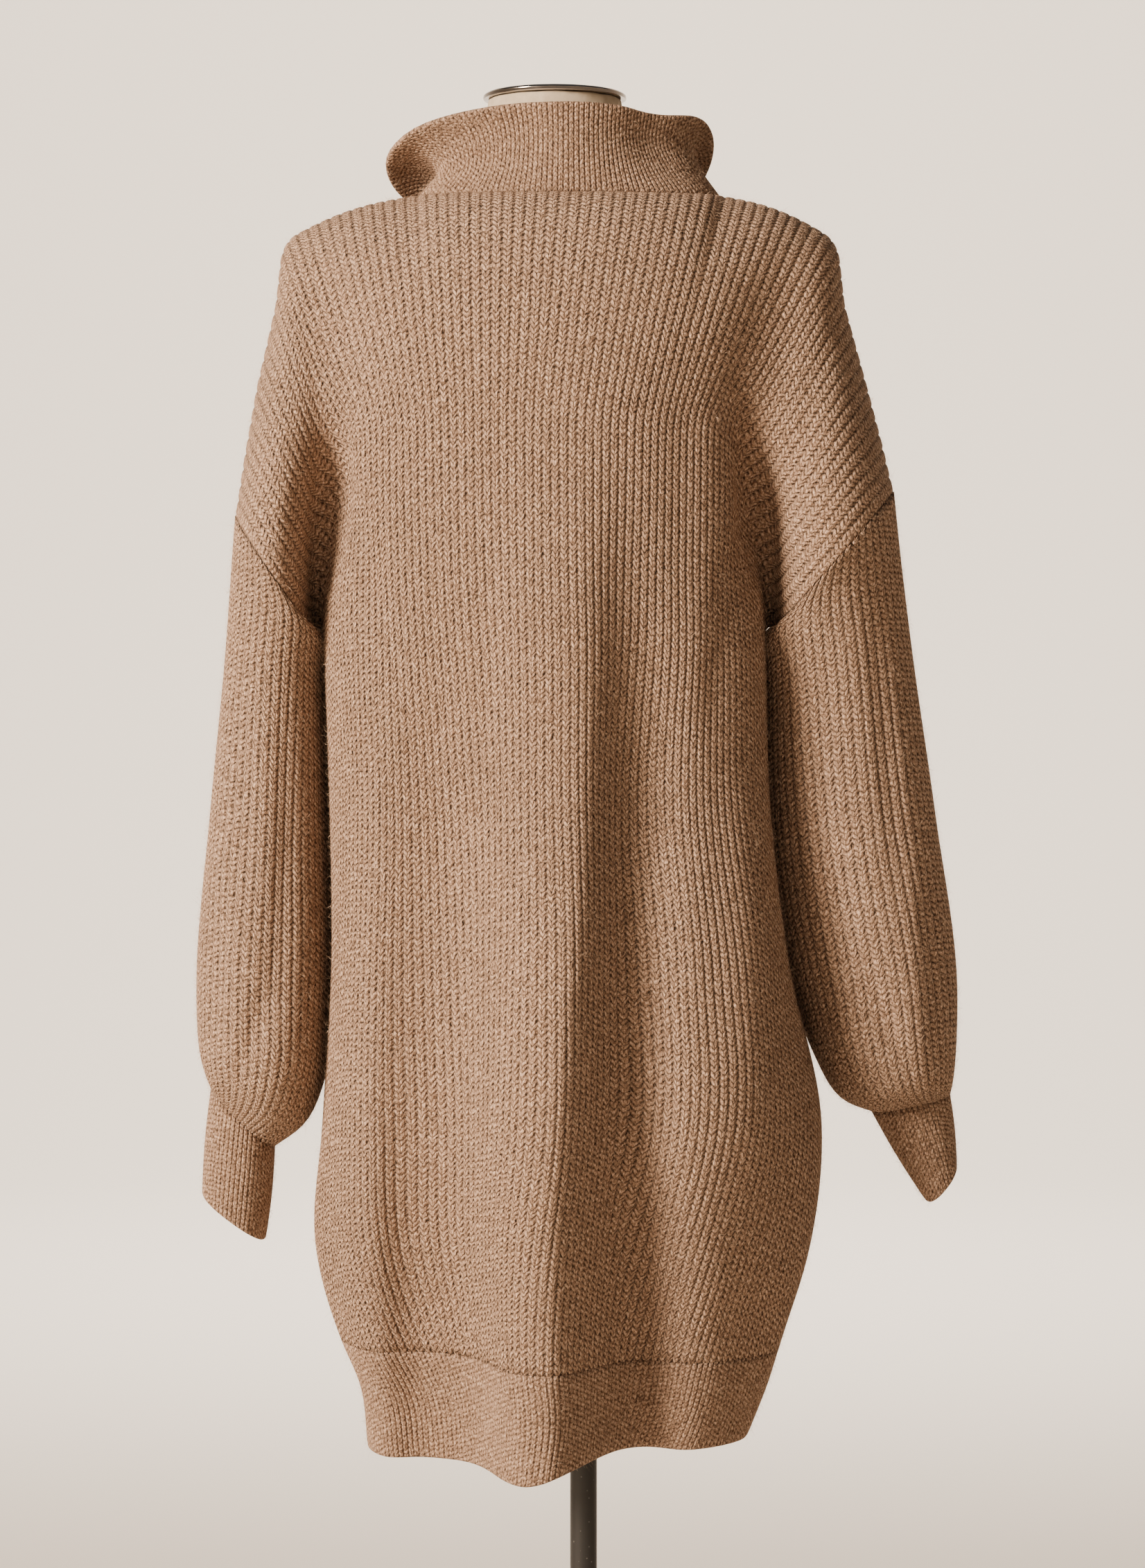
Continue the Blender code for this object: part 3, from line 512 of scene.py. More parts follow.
def shaded(material, inputs):
    feed(material.node_tree, material.node_tree.nodes["Principled BSDF"], inputs)
    return material


def knit_group():
    """Loops of yarn in ribs: height of the loops, how deep in a groove, and the loop's rise,
    which the colour uses for painted light and shade.
    """
    tree, given, out = new_group("knit_loops", ("Ribs", "Courses", "Slant"),
                                 ("Height", "Groove", "Loop"))

    def do(operation, *values):
        return maths(tree, operation, *values)

    split = node(tree, "SeparateXYZ", {0: node(tree, "UVMap", uv_map="knit").outputs[0]}).outputs
    place = object_place(tree)
    uneven = do("SUBTRACT", noise(tree, place, 230.0, 2.0), 0.5)
    ribs = do("MULTIPLY_ADD", uneven, 0.3, do("MULTIPLY", split[0], given["Ribs"]))
    from_middle = do("ABSOLUTE", do("SUBTRACT", do("FRACT", ribs), 0.5))
    away = do("MULTIPLY", from_middle, 2.0)
    courses = do("MULTIPLY", split[1], given["Courses"])
    courses = do("MULTIPLY_ADD", do("FLOOR", ribs), 0.37, courses)
    courses = do("MULTIPLY_ADD", uneven, 1.1, courses)
    legs = do("MULTIPLY_ADD", away, do("MULTIPLY", given["Slant"], -1.0), courses)
    loop = do("SINE", do("MULTIPLY", do("FRACT", legs), math.pi))
    loop = do("POWER", loop, 0.6)
    dip = spread(tree, away, 0.0, 0.2, kind="SMOOTHSTEP")
    groove = spread(tree, away, 0.56, 0.94, kind="SMOOTHSTEP")
    knots = do("MULTIPLY_ADD", loop, -0.85, 1.2)
    groove = node(tree, "Math", {0: groove, 1: knots}, operation="MULTIPLY",
                  use_clamp=True).outputs[0]
    high = do("SUBTRACT", loop, do("MULTIPLY", groove, 1.1))
    high = do("MULTIPLY_ADD", dip, 0.3, high)
    high = do("MULTIPLY_ADD", noise(tree, place, 1300.0, 3.0), 0.9, high)
    feed(tree, out, {"Height": high, "Groove": groove, "Loop": loop})
    return tree


def heather_group():
    """Heathered wool: cream, camel and brown fibres spun together, with slow tone changes, and
    painted shade in the grooves and painted light and shade over each loop.
    """
    tree, given, out = new_group("heather_wool", ("Groove", "Loop", "Tone"), ("Colour",))
    light, middle, dark = (0.74, 0.525, 0.385), (0.375, 0.24, 0.165), (0.085, 0.05, 0.032)
    place = object_place(tree)
    squeeze = node(tree, "Mapping", {"Vector": place, "Scale": (1.0, 1.0, 0.6)}).outputs[0]
    speck = noise(tree, squeeze, 720.0, 3.0, 0.7)
    colour = blend(tree, spread(tree, speck, 0.51, 0.67), middle, light)
    darker = maths(tree, "MULTIPLY", spread(tree, speck, 0.49, 0.33), 0.92)
    colour = blend(tree, darker, colour, dark)
    tone = maths(tree, "MULTIPLY_ADD", noise(tree, place, 11.0, 4.0), 0.26, 0.87)
    tone = maths(tree, "MULTIPLY", tone, given["Tone"])
    # Painted shade: darker down in the grooves. Painted light and shade: lighter on each loop's
    # crest, darker where the loops meet.
    for name, slope, start in (("Groove", -0.55, 1.0), ("Loop", 0.72, 0.42)):
        tone = maths(tree, "MULTIPLY", tone,
                     maths(tree, "MULTIPLY_ADD", given[name], slope, start))
    tone_and_painted_shade = node(tree, "CombineColor", {0: tone, 1: tone, 2: tone}).outputs[0]
    feed(tree, out, {"Colour": blend(tree, 1.0, colour, tone_and_painted_shade, "MULTIPLY")})
    return tree


KNIT_LOOPS = knit_group()
HEATHER_WOOL = heather_group()


def wool(name, ribs, courses, slant, bump, tone):
    """Brushed wool yarn, knitted in ribs: matt, with a soft sheen from its loose fibres."""
    material, tree = new_material(name)
    loops = node(tree, "Group", {"Ribs": ribs, "Courses": courses, "Slant": slant},
                 node_tree=KNIT_LOOPS).outputs
    heather = node(tree, "Group", {"Tone": tone, "Groove": loops["Groove"],
                                   "Loop": loops["Loop"]}, node_tree=HEATHER_WOOL).outputs[0]
    return shaded(material, {
        "Base Color": heather, "Normal": bumped(tree, bump, 0.0014, loops["Height"]),
        "Roughness": 0.95, "Specular IOR Level": 0.18, "Sheen Weight": 0.05,
        "Sheen Roughness": 0.45, "Sheen Tint": (1.0, 0.86, 0.72, 1.0)})


# Each knit piece's outside and its directions, for the nap to stand on
OUTSIDES = {}


def new_piece(name, verts, faces, edges=()):
    mesh = bpy.data.meshes.new(name)
    mesh.from_pydata(verts, edges, faces)
    return link(bpy.data.objects.new(name, mesh))


def with_free_edge(points, normals):
    """The same rows, with some more put in beside the last one."""
    last = points[-1] - points[-2]
    shares = 1.0 - ROLL_AT / np.linalg.norm(last, axis=-1).mean()
    near = points[-2] + shares[:, None, None] * last
    return (np.concatenate([points[:-1], near]),
            np.concatenate([normals[:-1], np.repeat(normals[-1:], len(ROLL_AT), axis=0)]))


def knit_wall(name, points, normals, ribs, knit, closed=False, free_edge=False,
              top_seam=False):
    """A knitted wall: rounded ribs outside, plain inside, rims between. Its map runs from 0 to 1
    across the ribs and up them. A free edge is rolled in, and a seam on top presses ribs flat."""
    wall, rise, course, yarn = knit
    if free_edge:
        points, normals = with_free_edge(points, normals)
    rows, columns = points.shape[:2]
    phase = np.arange(columns) / (columns if closed else columns - 1) * ribs
    sunk = np.tile(np.interp(phase % 1.0, *RIB_SHAPE) * rise, (rows, 1))
    total = wall + rise
    if free_edge:
        sunk[-len(ROLL_AT):] = np.maximum(sunk[-len(ROLL_AT):], ROLLED_IN[:, None] * total)
    if top_seam:
        sunk[:len(PRESSED)] = np.maximum(sunk[:len(PRESSED)], PRESSED[:, None] * rise)
    step = 2 * COLUMNS_A_RIB
    outside = points - normals * sunk[..., None]
    inside = (points - normals * total)[:, ::step]
    OUTSIDES[name] = (outside, normals)
    down = np.cumsum(step_lengths(points), axis=0)
    fall = down[-1] - np.concatenate([np.zeros((1, columns)), down])
    length = fall.max()

    # A tube's map has its first column again at the end, on the same vertices
    spans = columns if closed else columns - 1
    wide, narrow = spans + 1, spans // step + 1
    near = np.arange(wide) % columns
    far = np.arange(narrow) % inside.shape[1]
    down_rows = np.arange(rows)[:, None]
    vertex = np.concatenate([(down_rows * columns + near).ravel(),
                             (down_rows * inside.shape[1] + far).ravel() + rows * columns])
    across = np.tile(evenly(wide), (rows, 1))
    fall = fall[:, near] / length
    table = np.stack([across, fall], -1)
    table = np.concatenate([table.reshape(-1, 2), table[:, ::step].reshape(-1, 2)])

    outer = np.arange(rows * wide).reshape(rows, wide)
    inner = np.arange(rows * narrow).reshape(rows, narrow) + rows * wide
    quads = [np.stack([outer[:-1, :-1], outer[:-1, 1:], outer[1:, 1:], outer[1:, :-1]], -1),
             np.stack([inner[:-1, :-1], inner[1:, :-1], inner[1:, 1:], inner[:-1, 1:]], -1)]
    if not closed:
        for end, order in ((0, (0, 1, 2, 3)), (-1, (0, 3, 2, 1))):
            rim = np.stack([outer[:-1, end], outer[1:, end], inner[1:, end], inner[:-1, end]], -1)
            quads.append(rim[:, order])
    quads = np.concatenate([q.reshape(-1, 4) for q in quads])
    triangles = []
    for row, turn in ((0, 1), (-1, -1)):
        rim, back_rim = outer[row], inner[row]
        nearest = back_rim[(np.arange(spans) + step // 2) // step]
        for corners in ((nearest, rim[1:], rim[:-1]),
                        (back_rim[:-1], back_rim[1:], rim[step // 2::step])):
            triangles.append(np.stack(corners, -1)[:, ::turn])
    triangles = np.concatenate(triangles)
    piece = new_piece(name, np.concatenate([outside.reshape(-1, 3),
                                            inside.reshape(-1, 3)]).tolist(),
                      vertex[quads].tolist() + vertex[triangles].tolist())
    mesh = piece.data
    corners = table[np.concatenate([quads.ravel(), triangles.ravel()])]
    mesh.uv_layers.new(name="knit").data.foreach_set("uv", corners.astype(np.float32).ravel())
    walls = (rows - 1) * (wide + narrow - 2)
    mesh.polygons.foreach_set("use_smooth", np.arange(len(mesh.polygons)) < walls)
    mesh.materials.append(wool(name + "_wool", ribs, round(length / course), *yarn))
    mesh.update()
    return piece


def worn(piece, slot, *nodes):
    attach(piece, "root")
    if nodes:
        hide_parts(*nodes)
    return piece


def hang(name, points, normals, side, *knit, **edges):
    """Knits one flat piece of the body, turned as it hangs. Its points as they were before
    the turn are given back too."""
    if side < 0:
        points, normals = points[:, ::-1], normals[:, ::-1]
    placed = hung(points)
    turned_normals = unit(placed - hung(points - normals * NORMAL_STEP))
    return knit_wall(name, placed, turned_normals, *knit, **edges), points


def make_panel(name, side, creases, node_name):
    points = panel_surface(side)
    normals = panel_normals(points, side)
    points = creased(points, normals, creases)
    piece, points = hang(name, points, normals, side, BODY_RIBS, RIB_KNIT, top_seam=True)
    return worn(piece, "rib_knit", node_name), points


back, back_points = make_panel("knit_back", 1, BACK_CREASES, "back_panel")
front, front_points = make_panel("knit_front", -1, FRONT_CREASES, "front_panel")


# ---- Hem bands ----
# A finer one-by-one rib is knitted on at the foot of each panel and joined at the side seams.
# It draws the dress in a little and carries the folds down to the free edge.

HEM_RIBS = 118
HEM_ROWS = 14
HEM_LIFT_RIGHT = 0.01
HEM_LIFT_LEFT = -0.004
HEM_TURNS = (-0.04, 0.02)


def hem_lift(x):
    """How much higher than the hem's level its edge hangs, from the right side to the left."""
    share = np.clip((x - HEM_TURNS[0]) / (HEM_TURNS[1] - HEM_TURNS[0]), 0.0, 1.0)
    return HEM_LIFT_RIGHT + (HEM_LIFT_LEFT - HEM_LIFT_RIGHT) * eased_share(share)


def make_hem_band(name, side, node_name):
    shares = np.linspace(-1.0, 1.0, HEM_RIBS * COLUMNS_A_RIB + 1)
    heights = np.linspace(BAND_SEAM_HEIGHT - SEAM_GAP / 2, HEM_HEIGHT, HEM_ROWS)
    points = np.array([along_line(body_line(side, height), rib_shares(shares))
                       for height in heights])
    points[..., 1] += side * SEAM_GAP / 2
    points[..., 2] += evenly(HEM_ROWS)[:, None] * hem_lift(points[..., 0])
    normals = into_plane(grid_normals(points) * side, UP)
    for end in (0, -1):
        normals[:, end] = into_plane(normals[:, end], ACROSS_SEAM)
    piece, _ = hang(name, points, normals, side, HEM_RIBS, FINE_KNIT, free_edge=True)
    return worn(piece, "fine_rib", node_name)


back_hem = make_hem_band("hem_back", 1, "back_hem_band")
front_hem = make_hem_band("hem_front", -1, "front_hem_band")


# ---- Sleeves and cuffs ----
# Each balloon sleeve is one tube of the same rib, sewn to the armhole. It is full above the
# wrist and gathered into a fine-rib cuff.

SLEEVE_RIBS = 54
CUFF_RIBS = 54
SLEEVE_POWER = 2.3
SLEEVE_ROWS = 76
SLEEVE_SOFTENING = 5
CUFF_ROWS = 16
CUFF_SWELL = 0.0012
LINE_SPOTS = 40
SIDE_FADE = 0.02
HELD_ENDS = 4
# Rings round each arm, from the armhole to the wrist and then the cuff's edge: outer across,
# outer height, inner across, inner height, depth, forward
RIGHT_SLEEVE_RINGS = [
    (-0.219, 1.187, -0.135, 1.0915, 0.15, 0.0),
    (-0.224, 1.145, -0.124, 1.0835, 0.15, 0.012),
    (-0.231, 1.095, -0.1258, 1.064, 0.15, 0.024),
    (-0.251, 0.96, -0.13, 0.93, 0.156, 0.036),
    (-0.2668, 0.835, -0.15, 0.83, 0.16, 0.036),
    (-0.2655, 0.785, -0.1655, 0.785, 0.152, 0.036),
    (-0.2635, 0.766, -0.183, 0.755, 0.124, 0.036),
    (-0.262, 0.7586, -0.2058, 0.746, 0.076, 0.036),
    (-0.267, 0.7056, -0.246, 0.68, 0.074, 0.04),
]
LEFT_SLEEVE_RINGS = [
    (0.2455, 1.17, 0.1915, 1.0915, 0.15, 0.0),
    (0.249, 1.133, 0.18, 1.0835, 0.151, 0.012),
    (0.253, 1.09, 0.1818, 1.064, 0.152, 0.024),
    (0.2655, 0.965, 0.1795, 0.94, 0.16, 0.034),
    (0.276, 0.838, 0.1785, 0.83, 0.164, 0.036),
    (0.2738, 0.79, 0.1845, 0.77, 0.156, 0.036),
    (0.27, 0.774, 0.1975, 0.738, 0.124, 0.036),
    (0.2661, 0.7633, 0.2208, 0.7206, 0.076, 0.036),
    (0.2729, 0.6865, 0.2278, 0.653, 0.072, 0.04),
]
# Soft hollows in each sleeve: side of the arm, line of (across, height), half width, depth
SLEEVE_CREASES = {
    "left": [
        (1, [(0.232, 1.12), (0.238, 0.98), (0.24, 0.86)], 0.01, 0.003),
        (1, [(0.208, 1.06), (0.206, 0.94), (0.214, 0.84), (0.232, 0.775)], 0.012, 0.005),
        (1, [(0.256, 0.9), (0.258, 0.83), (0.256, 0.785)], 0.008, 0.0035),
        (1, [(0.222, 0.84), (0.236, 0.79), (0.244, 0.765)], 0.007, 0.0035),
        (-1, [(0.212, 1.06), (0.214, 0.92), (0.222, 0.8)], 0.012, 0.0045),
        (-1, [(0.244, 1.02), (0.25, 0.9), (0.25, 0.79)], 0.009, 0.0035),
        (-1, [(0.232, 0.86), (0.24, 0.8), (0.244, 0.765)], 0.007, 0.0035),
    ],
    "right": [
        (1, [(-0.2, 1.12), (-0.212, 1.0), (-0.222, 0.88)], 0.01, 0.003),
        (1, [(-0.16, 1.05), (-0.164, 0.95), (-0.182, 0.85), (-0.214, 0.785)], 0.012, 0.0055),
        (1, [(-0.24, 0.92), (-0.246, 0.84), (-0.246, 0.78)], 0.008, 0.0035),
        (1, [(-0.196, 0.85), (-0.216, 0.8), (-0.232, 0.772)], 0.007, 0.0035),
        (-1, [(-0.162, 1.05), (-0.172, 0.93), (-0.196, 0.81)], 0.012, 0.0045),
        (-1, [(-0.21, 1.02), (-0.228, 0.9), (-0.24, 0.79)], 0.009, 0.0035),
        (-1, [(-0.206, 0.86), (-0.222, 0.8), (-0.234, 0.77)], 0.007, 0.0035),
    ],
}


def ring(row, count):
    """One ring round an arm, through its outer and inner points and as deep as stated."""
    outer_x, outer_z, inner_x, inner_z, depth, forward = row
    angles = np.linspace(0.0, 2 * math.pi, SECTION_POINTS)
    across = squared(np.cos(angles), SLEEVE_POWER)[:, None]
    deep = squared(np.sin(angles), SLEEVE_POWER)[:, None]
    middle = np.array([(outer_x + inner_x) / 2, -forward, (outer_z + inner_z) / 2])
    half = np.array([(outer_x - inner_x) / 2, 0.0, (outer_z - inner_z) / 2])
    return round_loop(middle + across * half + deep * ACROSS_SEAM * depth / 2, count)


def round_loop(line, count):
    return along_line(line, evenly(count + 1)[:-1])


def ring_plane(row):
    """The direction down the arm, square to one of its rings."""
    plane = unit(np.cross([row[2] - row[0], 0.0, row[3] - row[1]], ACROSS_SEAM))
    return plane if plane[2] < 0 else -plane


def tube_normals(points, first_plane, last_plane):
    """Directions away from the arm, laid flat along both ends of the tube."""
    across = np.roll(points, -1, axis=1) - np.roll(points, 1, axis=1)
    normals = unit(np.cross(across, np.gradient(points, axis=0)))
    away = np.sum(normals * (points - points.mean(axis=1, keepdims=True)), axis=(1, 2))
    normals *= np.where(away < 0, -1.0, 1.0)[:, None, None]
    normals[0] = into_plane(normals[0], first_plane)
    normals[-1] = into_plane(normals[-1], last_plane)
    return normals


def sleeve_creased(points, normals, creases):
    """Presses the hollows and drags into one side of a sleeve each."""
    middle = points[..., 1].mean(axis=1, keepdims=True)
    held = held_ends(len(points), HELD_ENDS)[:, None]
    for facing, line, half_width, deep in creases:
        spots = along_line(line, evenly(LINE_SPOTS))
        away = np.linalg.norm(points[..., None, [0, 2]] - spots, axis=-1)
        place = away.argmin(axis=-1) / (LINE_SPOTS - 1)
        depth = trough(away.min(axis=-1), place, half_width, deep, 0.08)
        on_side = np.clip((points[..., 1] - middle) * facing / SIDE_FADE, 0.0, 1.0)
        points = points - normals * (depth * on_side * held)[..., None]
    return points


def facing_out(points, normals):
    """Turns the columns round where the outside would face in."""
    across = points[1, 1] - points[1, 0]
    down = points[1, 0] - points[0, 0]
    if np.cross(across, down) @ normals[1, 0] < 0:
        return points[:, ::-1], normals[:, ::-1]
    return points, normals


def make_sleeve(side, column, rings):
    """A sleeve, with its armhole at the panels' first or last column, and its cuff."""
    *rings, cuff_end = rings
    count = SLEEVE_RIBS * COLUMNS_A_RIB
    under = int(np.argmin(np.abs(back_points[:PANEL_ROWS // 2, column, 2] - UNDERARM_HEIGHT)))
    back_edge = back_points[:under + 1, column]
    front_edge = front_points[:under + 1, -1 - column]
    loop = np.concatenate([back_edge, front_edge[::-1], back_edge[:1]])
    armhole, wrist = ring_plane(rings[0]), ring_plane(rings[-1])
    rows = [round_loop(loop, count) + armhole * SEAM_GAP]
    coarse = np.array(rows + [ring(row, count) for row in rings[1:]])
    at = row_places(coarse)
    points = smooth_rows(coarse, at, np.linspace(0.0, at[-1], SLEEVE_ROWS))
    lap = SLEEVE_SOFTENING + 1
    wrapped = np.concatenate([points[:, -lap:], points, points[:, :lap]], axis=1)
    points = softened(wrapped, SLEEVE_SOFTENING)[:, lap:-lap]
    normals = tube_normals(points, armhole, wrist)
    points = sleeve_creased(points, normals, SLEEVE_CREASES[side])
    sleeve = knit_wall("sleeve_" + side, *facing_out(points, normals), SLEEVE_RIBS, RIB_KNIT,
                       closed=True)

    count = CUFF_RIBS * COLUMNS_A_RIB
    coarse = np.array([ring(rings[-1], count) + wrist * SEAM_GAP, ring(cuff_end, count)])
    points = smooth_rows(coarse, evenly(2), evenly(CUFF_ROWS))
    normals = tube_normals(points, wrist, ring_plane(cuff_end))
    swell = np.sin(np.linspace(0.0, math.pi, CUFF_ROWS))[:, None, None] * CUFF_SWELL
    cuff = knit_wall("cuff_" + side, *facing_out(points + normals * swell, normals), CUFF_RIBS,
                     FINE_KNIT, closed=True, free_edge=True)
    return worn(sleeve, "rib_knit", side + "_sleeve"), worn(cuff, "fine_rib", side + "_cuff")


left_sleeve, left_cuff = make_sleeve("left", -1, LEFT_SLEEVE_RINGS)
right_sleeve, right_cuff = make_sleeve("right", 0, RIGHT_SLEEVE_RINGS)


# ---- Collar ----
# One band of the fine rib is linked to the neck. It stands upright at the back, leans in at the
# sides and turns over to the outside towards the front, sooner on the left. Its two ends stand
# apart there.

COLLAR_RIBS = 150
COLLAR_ROWS = 20
COLLAR_SOFTENING = 3
COLLAR_GAP = 0.0001
CORNER_LIFT = 0.0004
NECK_CORNER = 0.022
SHOULDER_SEAM = 0.999
FRONT_OPENS_AT = 0.085
EASE_FOOT = 0.006
EASE_BAND = 0.019

# Strips from the neck seam up: width, then how far each leans out from upright, in degrees, at
# the back, half way, at the side, where it turns over and at the front
COLLAR_RIGHT = [
    (0.024, 0.0, -40.0, -30.0, -20.0, 0.0),
    (0.02, 0.0, -30.0, -25.0, 10.0, 50.0),
    (0.018, 0.0, 0.0, 30.0, 80.0, 90.0),
]
COLLAR_LEFT = [
    (0.024, 0.0, -30.0, -35.0, 0.0, 0.0),
    (0.02, 0.0, 10.0, 70.0, 90.0, 50.0),
    (0.018, 0.0, 50.0, 100.0, 110.0, 90.0),
]
# Places of the leans round the neck: -1 at the back, 0 at the shoulders, 1 at the front
TURNS_OVER_AT = 0.4
COLLAR_STOPS = (-1.0, -0.5, 0.0, TURNS_OVER_AT, 1.0)


def neck_line():
    """The neck seam, from its front end on the right, round behind, to the one on the left."""
    spans = ((-FRONT_OPENS_AT, -SHOULDER_SEAM, 160, -1), (-SHOULDER_SEAM, SHOULDER_SEAM, 240, 1),
             (SHOULDER_SEAM, FRONT_OPENS_AT, 160, -1))
    return np.array([neck_point(across, side) for start, end, count, side in spans
                     for across in np.linspace(start, end, count)])


def make_collar():
    line = neck_line()
    columns = COLLAR_RIBS * COLUMNS_A_RIB + 1
    seam = along_line(line, evenly(columns))
    spacing = step_lengths(line).sum() / (columns - 1)
    foot_reach, band_reach = round(EASE_FOOT / spacing), round(EASE_BAND / spacing)
    out = neck_direction(seam)
    rise = unit(np.cross(np.gradient(seam, axis=0), out))
    rise *= np.where(rise[:, 2:3] < 0, -1.0, 1.0)
    rise = unit(eased(rise, foot_reach))
    level = into_plane(out, UP)
    behind = np.arcsin(np.clip(seam[:, 1] / BACK_NECK_DEPTH, 0.0, 1.0)) / (math.pi / 2)
    round_neck = np.where(seam[:, 1] > 0, -behind, -seam[:, 1] / FRONT_NECK_DEPTH)
    left_share = np.clip((seam[:, 0] - NECK_RIGHT) / (NECK_LEFT - NECK_RIGHT), 0.0, 1.0)
    corner = np.exp(-((seam[:, 1:2] / NECK_CORNER) ** 2))
    rows = [eased(seam, foot_reach) + rise * COLLAR_GAP + UP * CORNER_LIFT * corner]
    line = seam
    at = [0.0]
    for strip_right, strip_left in zip(COLLAR_RIGHT, COLLAR_LEFT):
        on_right = np.interp(round_neck, COLLAR_STOPS, strip_right[1:])
        on_left = np.interp(round_neck, COLLAR_STOPS, strip_left[1:])
        lean = np.radians(on_right + (on_left - on_right) * left_share)[:, None]
        width = strip_right[0] + (strip_left[0] - strip_right[0]) * left_share[:, None]
        line = line + width * (np.cos(lean) * UP + np.sin(lean) * level)
        rows.append(eased(line, band_reach))
        at.append(at[-1] + float(width.mean()))
    points = smooth_rows(np.array(rows), np.array(at), np.linspace(0.0, at[-1], COLLAR_ROWS))
    points = softened(points, COLLAR_SOFTENING)
    normals = grid_normals(points)
    normals *= np.sign(np.sum(normals * out, axis=-1).sum())
    normals[0] = unit(eased(out, band_reach))
    piece = knit_wall("collar_band", *facing_out(points, normals), COLLAR_RIBS, FINE_KNIT,
                      free_edge=True)
    return worn(piece, "fine_rib", "collar")


collar = make_collar()


# ---- Brushed nap ----
# The wool is brushed, so loose fibres stand off the whole outside and soften its outline. Each
# is a bent sliver. They are joined into one piece for the body and one for sleeves and trims.

FIBRE_WIDTH = 0.0001
FIBRE_LENGTH = 0.0012
FIBRE_ROOT = 0.0004


def brushed_fibre():
    material, tree = new_material("loose_wool_fibre")
    tone = noise(tree, object_place(tree), 90.0, 2.0)
    return shaded(material, {
        "Base Color": blend(tree, tone, (0.42, 0.27, 0.175), (0.86, 0.66, 0.5)),
        "Roughness": 0.6, "Sheen Weight": 0.3, "Specular IOR Level": 0.3})


FIBRE = brushed_fibre()


def cell_areas(points):
    return np.linalg.norm(np.cross(points[:-1, 1:] - points[:-1, :-1],
                                   points[1:, :-1] - points[:-1, :-1]), axis=-1)


def brushed_nap(name, owners, count, seed):
    """Slivers of four points each, scattered evenly over the outsides of the owners."""
    rng = np.random.default_rng(seed)
    slivers = []
    areas = [cell_areas(OUTSIDES[owner.name][0]) for owner in owners]
    whole = sum(cell.sum() for cell in areas)
    for owner, cell in zip(owners, areas):
        points, normals = OUTSIDES[owner.name]
        here = int(count * cell.sum() / whole)
        chosen = rng.choice(cell.size, here, p=(cell / cell.sum()).ravel())
        r, c = np.divmod(chosen, cell.shape[1])
        a, b = rng.random((2, here, 1))
        root = points[r, c] + a * (points[r, c + 1] - points[r, c])
        root = root + b * (points[r + 1, c] - points[r, c])
        out = normals[r, c]
        side = unit(np.cross(out, rng.normal(size=(here, 3))))
        other = np.cross(out, side)
        length = rng.gamma(4.0, 0.0009, (here, 1)) + FIBRE_LENGTH
        lie = rng.uniform(0.25, 1.0, (here, 1))
        first = unit(out * lie + side)
        bend = rng.normal(scale=0.55, size=(here, 1))
        second = unit(first + other * bend + out * rng.uniform(-0.5, 0.35, (here, 1)))
        middle = root + first * length * 0.5
        tip = middle + second * length * 0.5
        wide = unit(np.cross(first, rng.normal(size=(here, 3)))) * FIBRE_WIDTH / 2
        slivers.append(np.stack([root - out * FIBRE_ROOT, middle - wide, middle + wide, tip], 1))
    verts = np.concatenate(slivers)
    start = np.arange(len(verts))[:, None] * 4
    faces = np.concatenate([start + [0, 1, 2], start + [1, 3, 2]])
    piece = new_piece(name, verts.reshape(-1, 3).tolist(), faces.tolist())
    piece.data.materials.append(FIBRE)
    worn(piece, "rib_knit")


brushed_nap("nap_body", [back, front], 60000, 11)
brushed_nap("nap_sleeves", [left_sleeve, right_sleeve, left_cuff, right_cuff, back_hem,
                            front_hem, collar], 52000, 12)


# ---- Dress form ----
# The limbless form under the dress is padded card covered in tight unbleached linen. Only its
# neck shows above the collar.

NECK_MIDDLE = 0.0205


def linen():
    material, tree = new_material("unbleached_linen")
    place = object_place(tree)
    x, y, z = node(tree, "SeparateXYZ", {0: place}).outputs
    turn = maths(tree, "ARCTAN2", maths(tree, "SUBTRACT", x, NECK_MIDDLE), y)
    warp, weft = (maths(tree, "SINE", maths(tree, "MULTIPLY", along, threads))
                  for along, threads in ((turn, 380.0), (z, 8200.0)))
    weave = maths(tree, "MULTIPLY", warp, weft)
    slub = noise(tree, place, 160.0, 3.0)
    return shaded(material, {
        "Base Color": blend(tree, slub, (0.44, 0.345, 0.235), (0.72, 0.61, 0.47)),
        "Normal": bumped(tree, 0.5, 0.0003, weave),
        "Roughness": 0.85, "Sheen Weight": 0.15})


def edit(piece):
    """Makes one piece the only one picked, and opens all of its mesh for editing."""
    for shown in bpy.context.selected_objects:
        shown.select_set(False)
    piece.select_set(True)
    bpy.context.view_layer.objects.active = piece
    bpy.ops.object.mode_set(mode="EDIT")
    bpy.ops.mesh.select_all(action="SELECT")


def make_form():
    form = link(frame["nodes"]["form_body"].copy())
    form.data = form.data.copy()
    form.name = form.data.name = "linen_form"
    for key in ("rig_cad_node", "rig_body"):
        if key in form:
            del form[key]
    form.parent = None
    edit(form)
    bpy.ops.mesh.remove_doubles(threshold=0.00005)
    bpy.ops.mesh.tris_convert_to_quads(face_threshold=0.9, shape_threshold=0.9)
    bpy.ops.object.mode_set(mode="OBJECT")
    crease = form.data.attributes.new("crease_edge", "FLOAT", "EDGE")
    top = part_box("form_body")[1].z
    for edge in form.data.edges:
        at_top = all(abs(form.data.vertices[i].co.z - top) < 0.0002 for i in edge.vertices)
        crease.data[edge.index].value = 0.9 if at_top else 0.0
    rounded = form.modifiers.new("rounded", "SUBSURF")
    rounded.levels = rounded.render_levels = 2
    bpy.ops.object.modifier_apply(modifier="rounded")
    bpy.ops.object.shade_smooth_by_angle(angle=math.radians(50))
    form.data.materials.clear()
    form.data.materials.append(linen())
    worn(form, "linen", "form_body")


make_form()


# ---- Neck cap ----
# A spun metal disc closes the neck of the form. It is polished and chromed, with a soft edge.

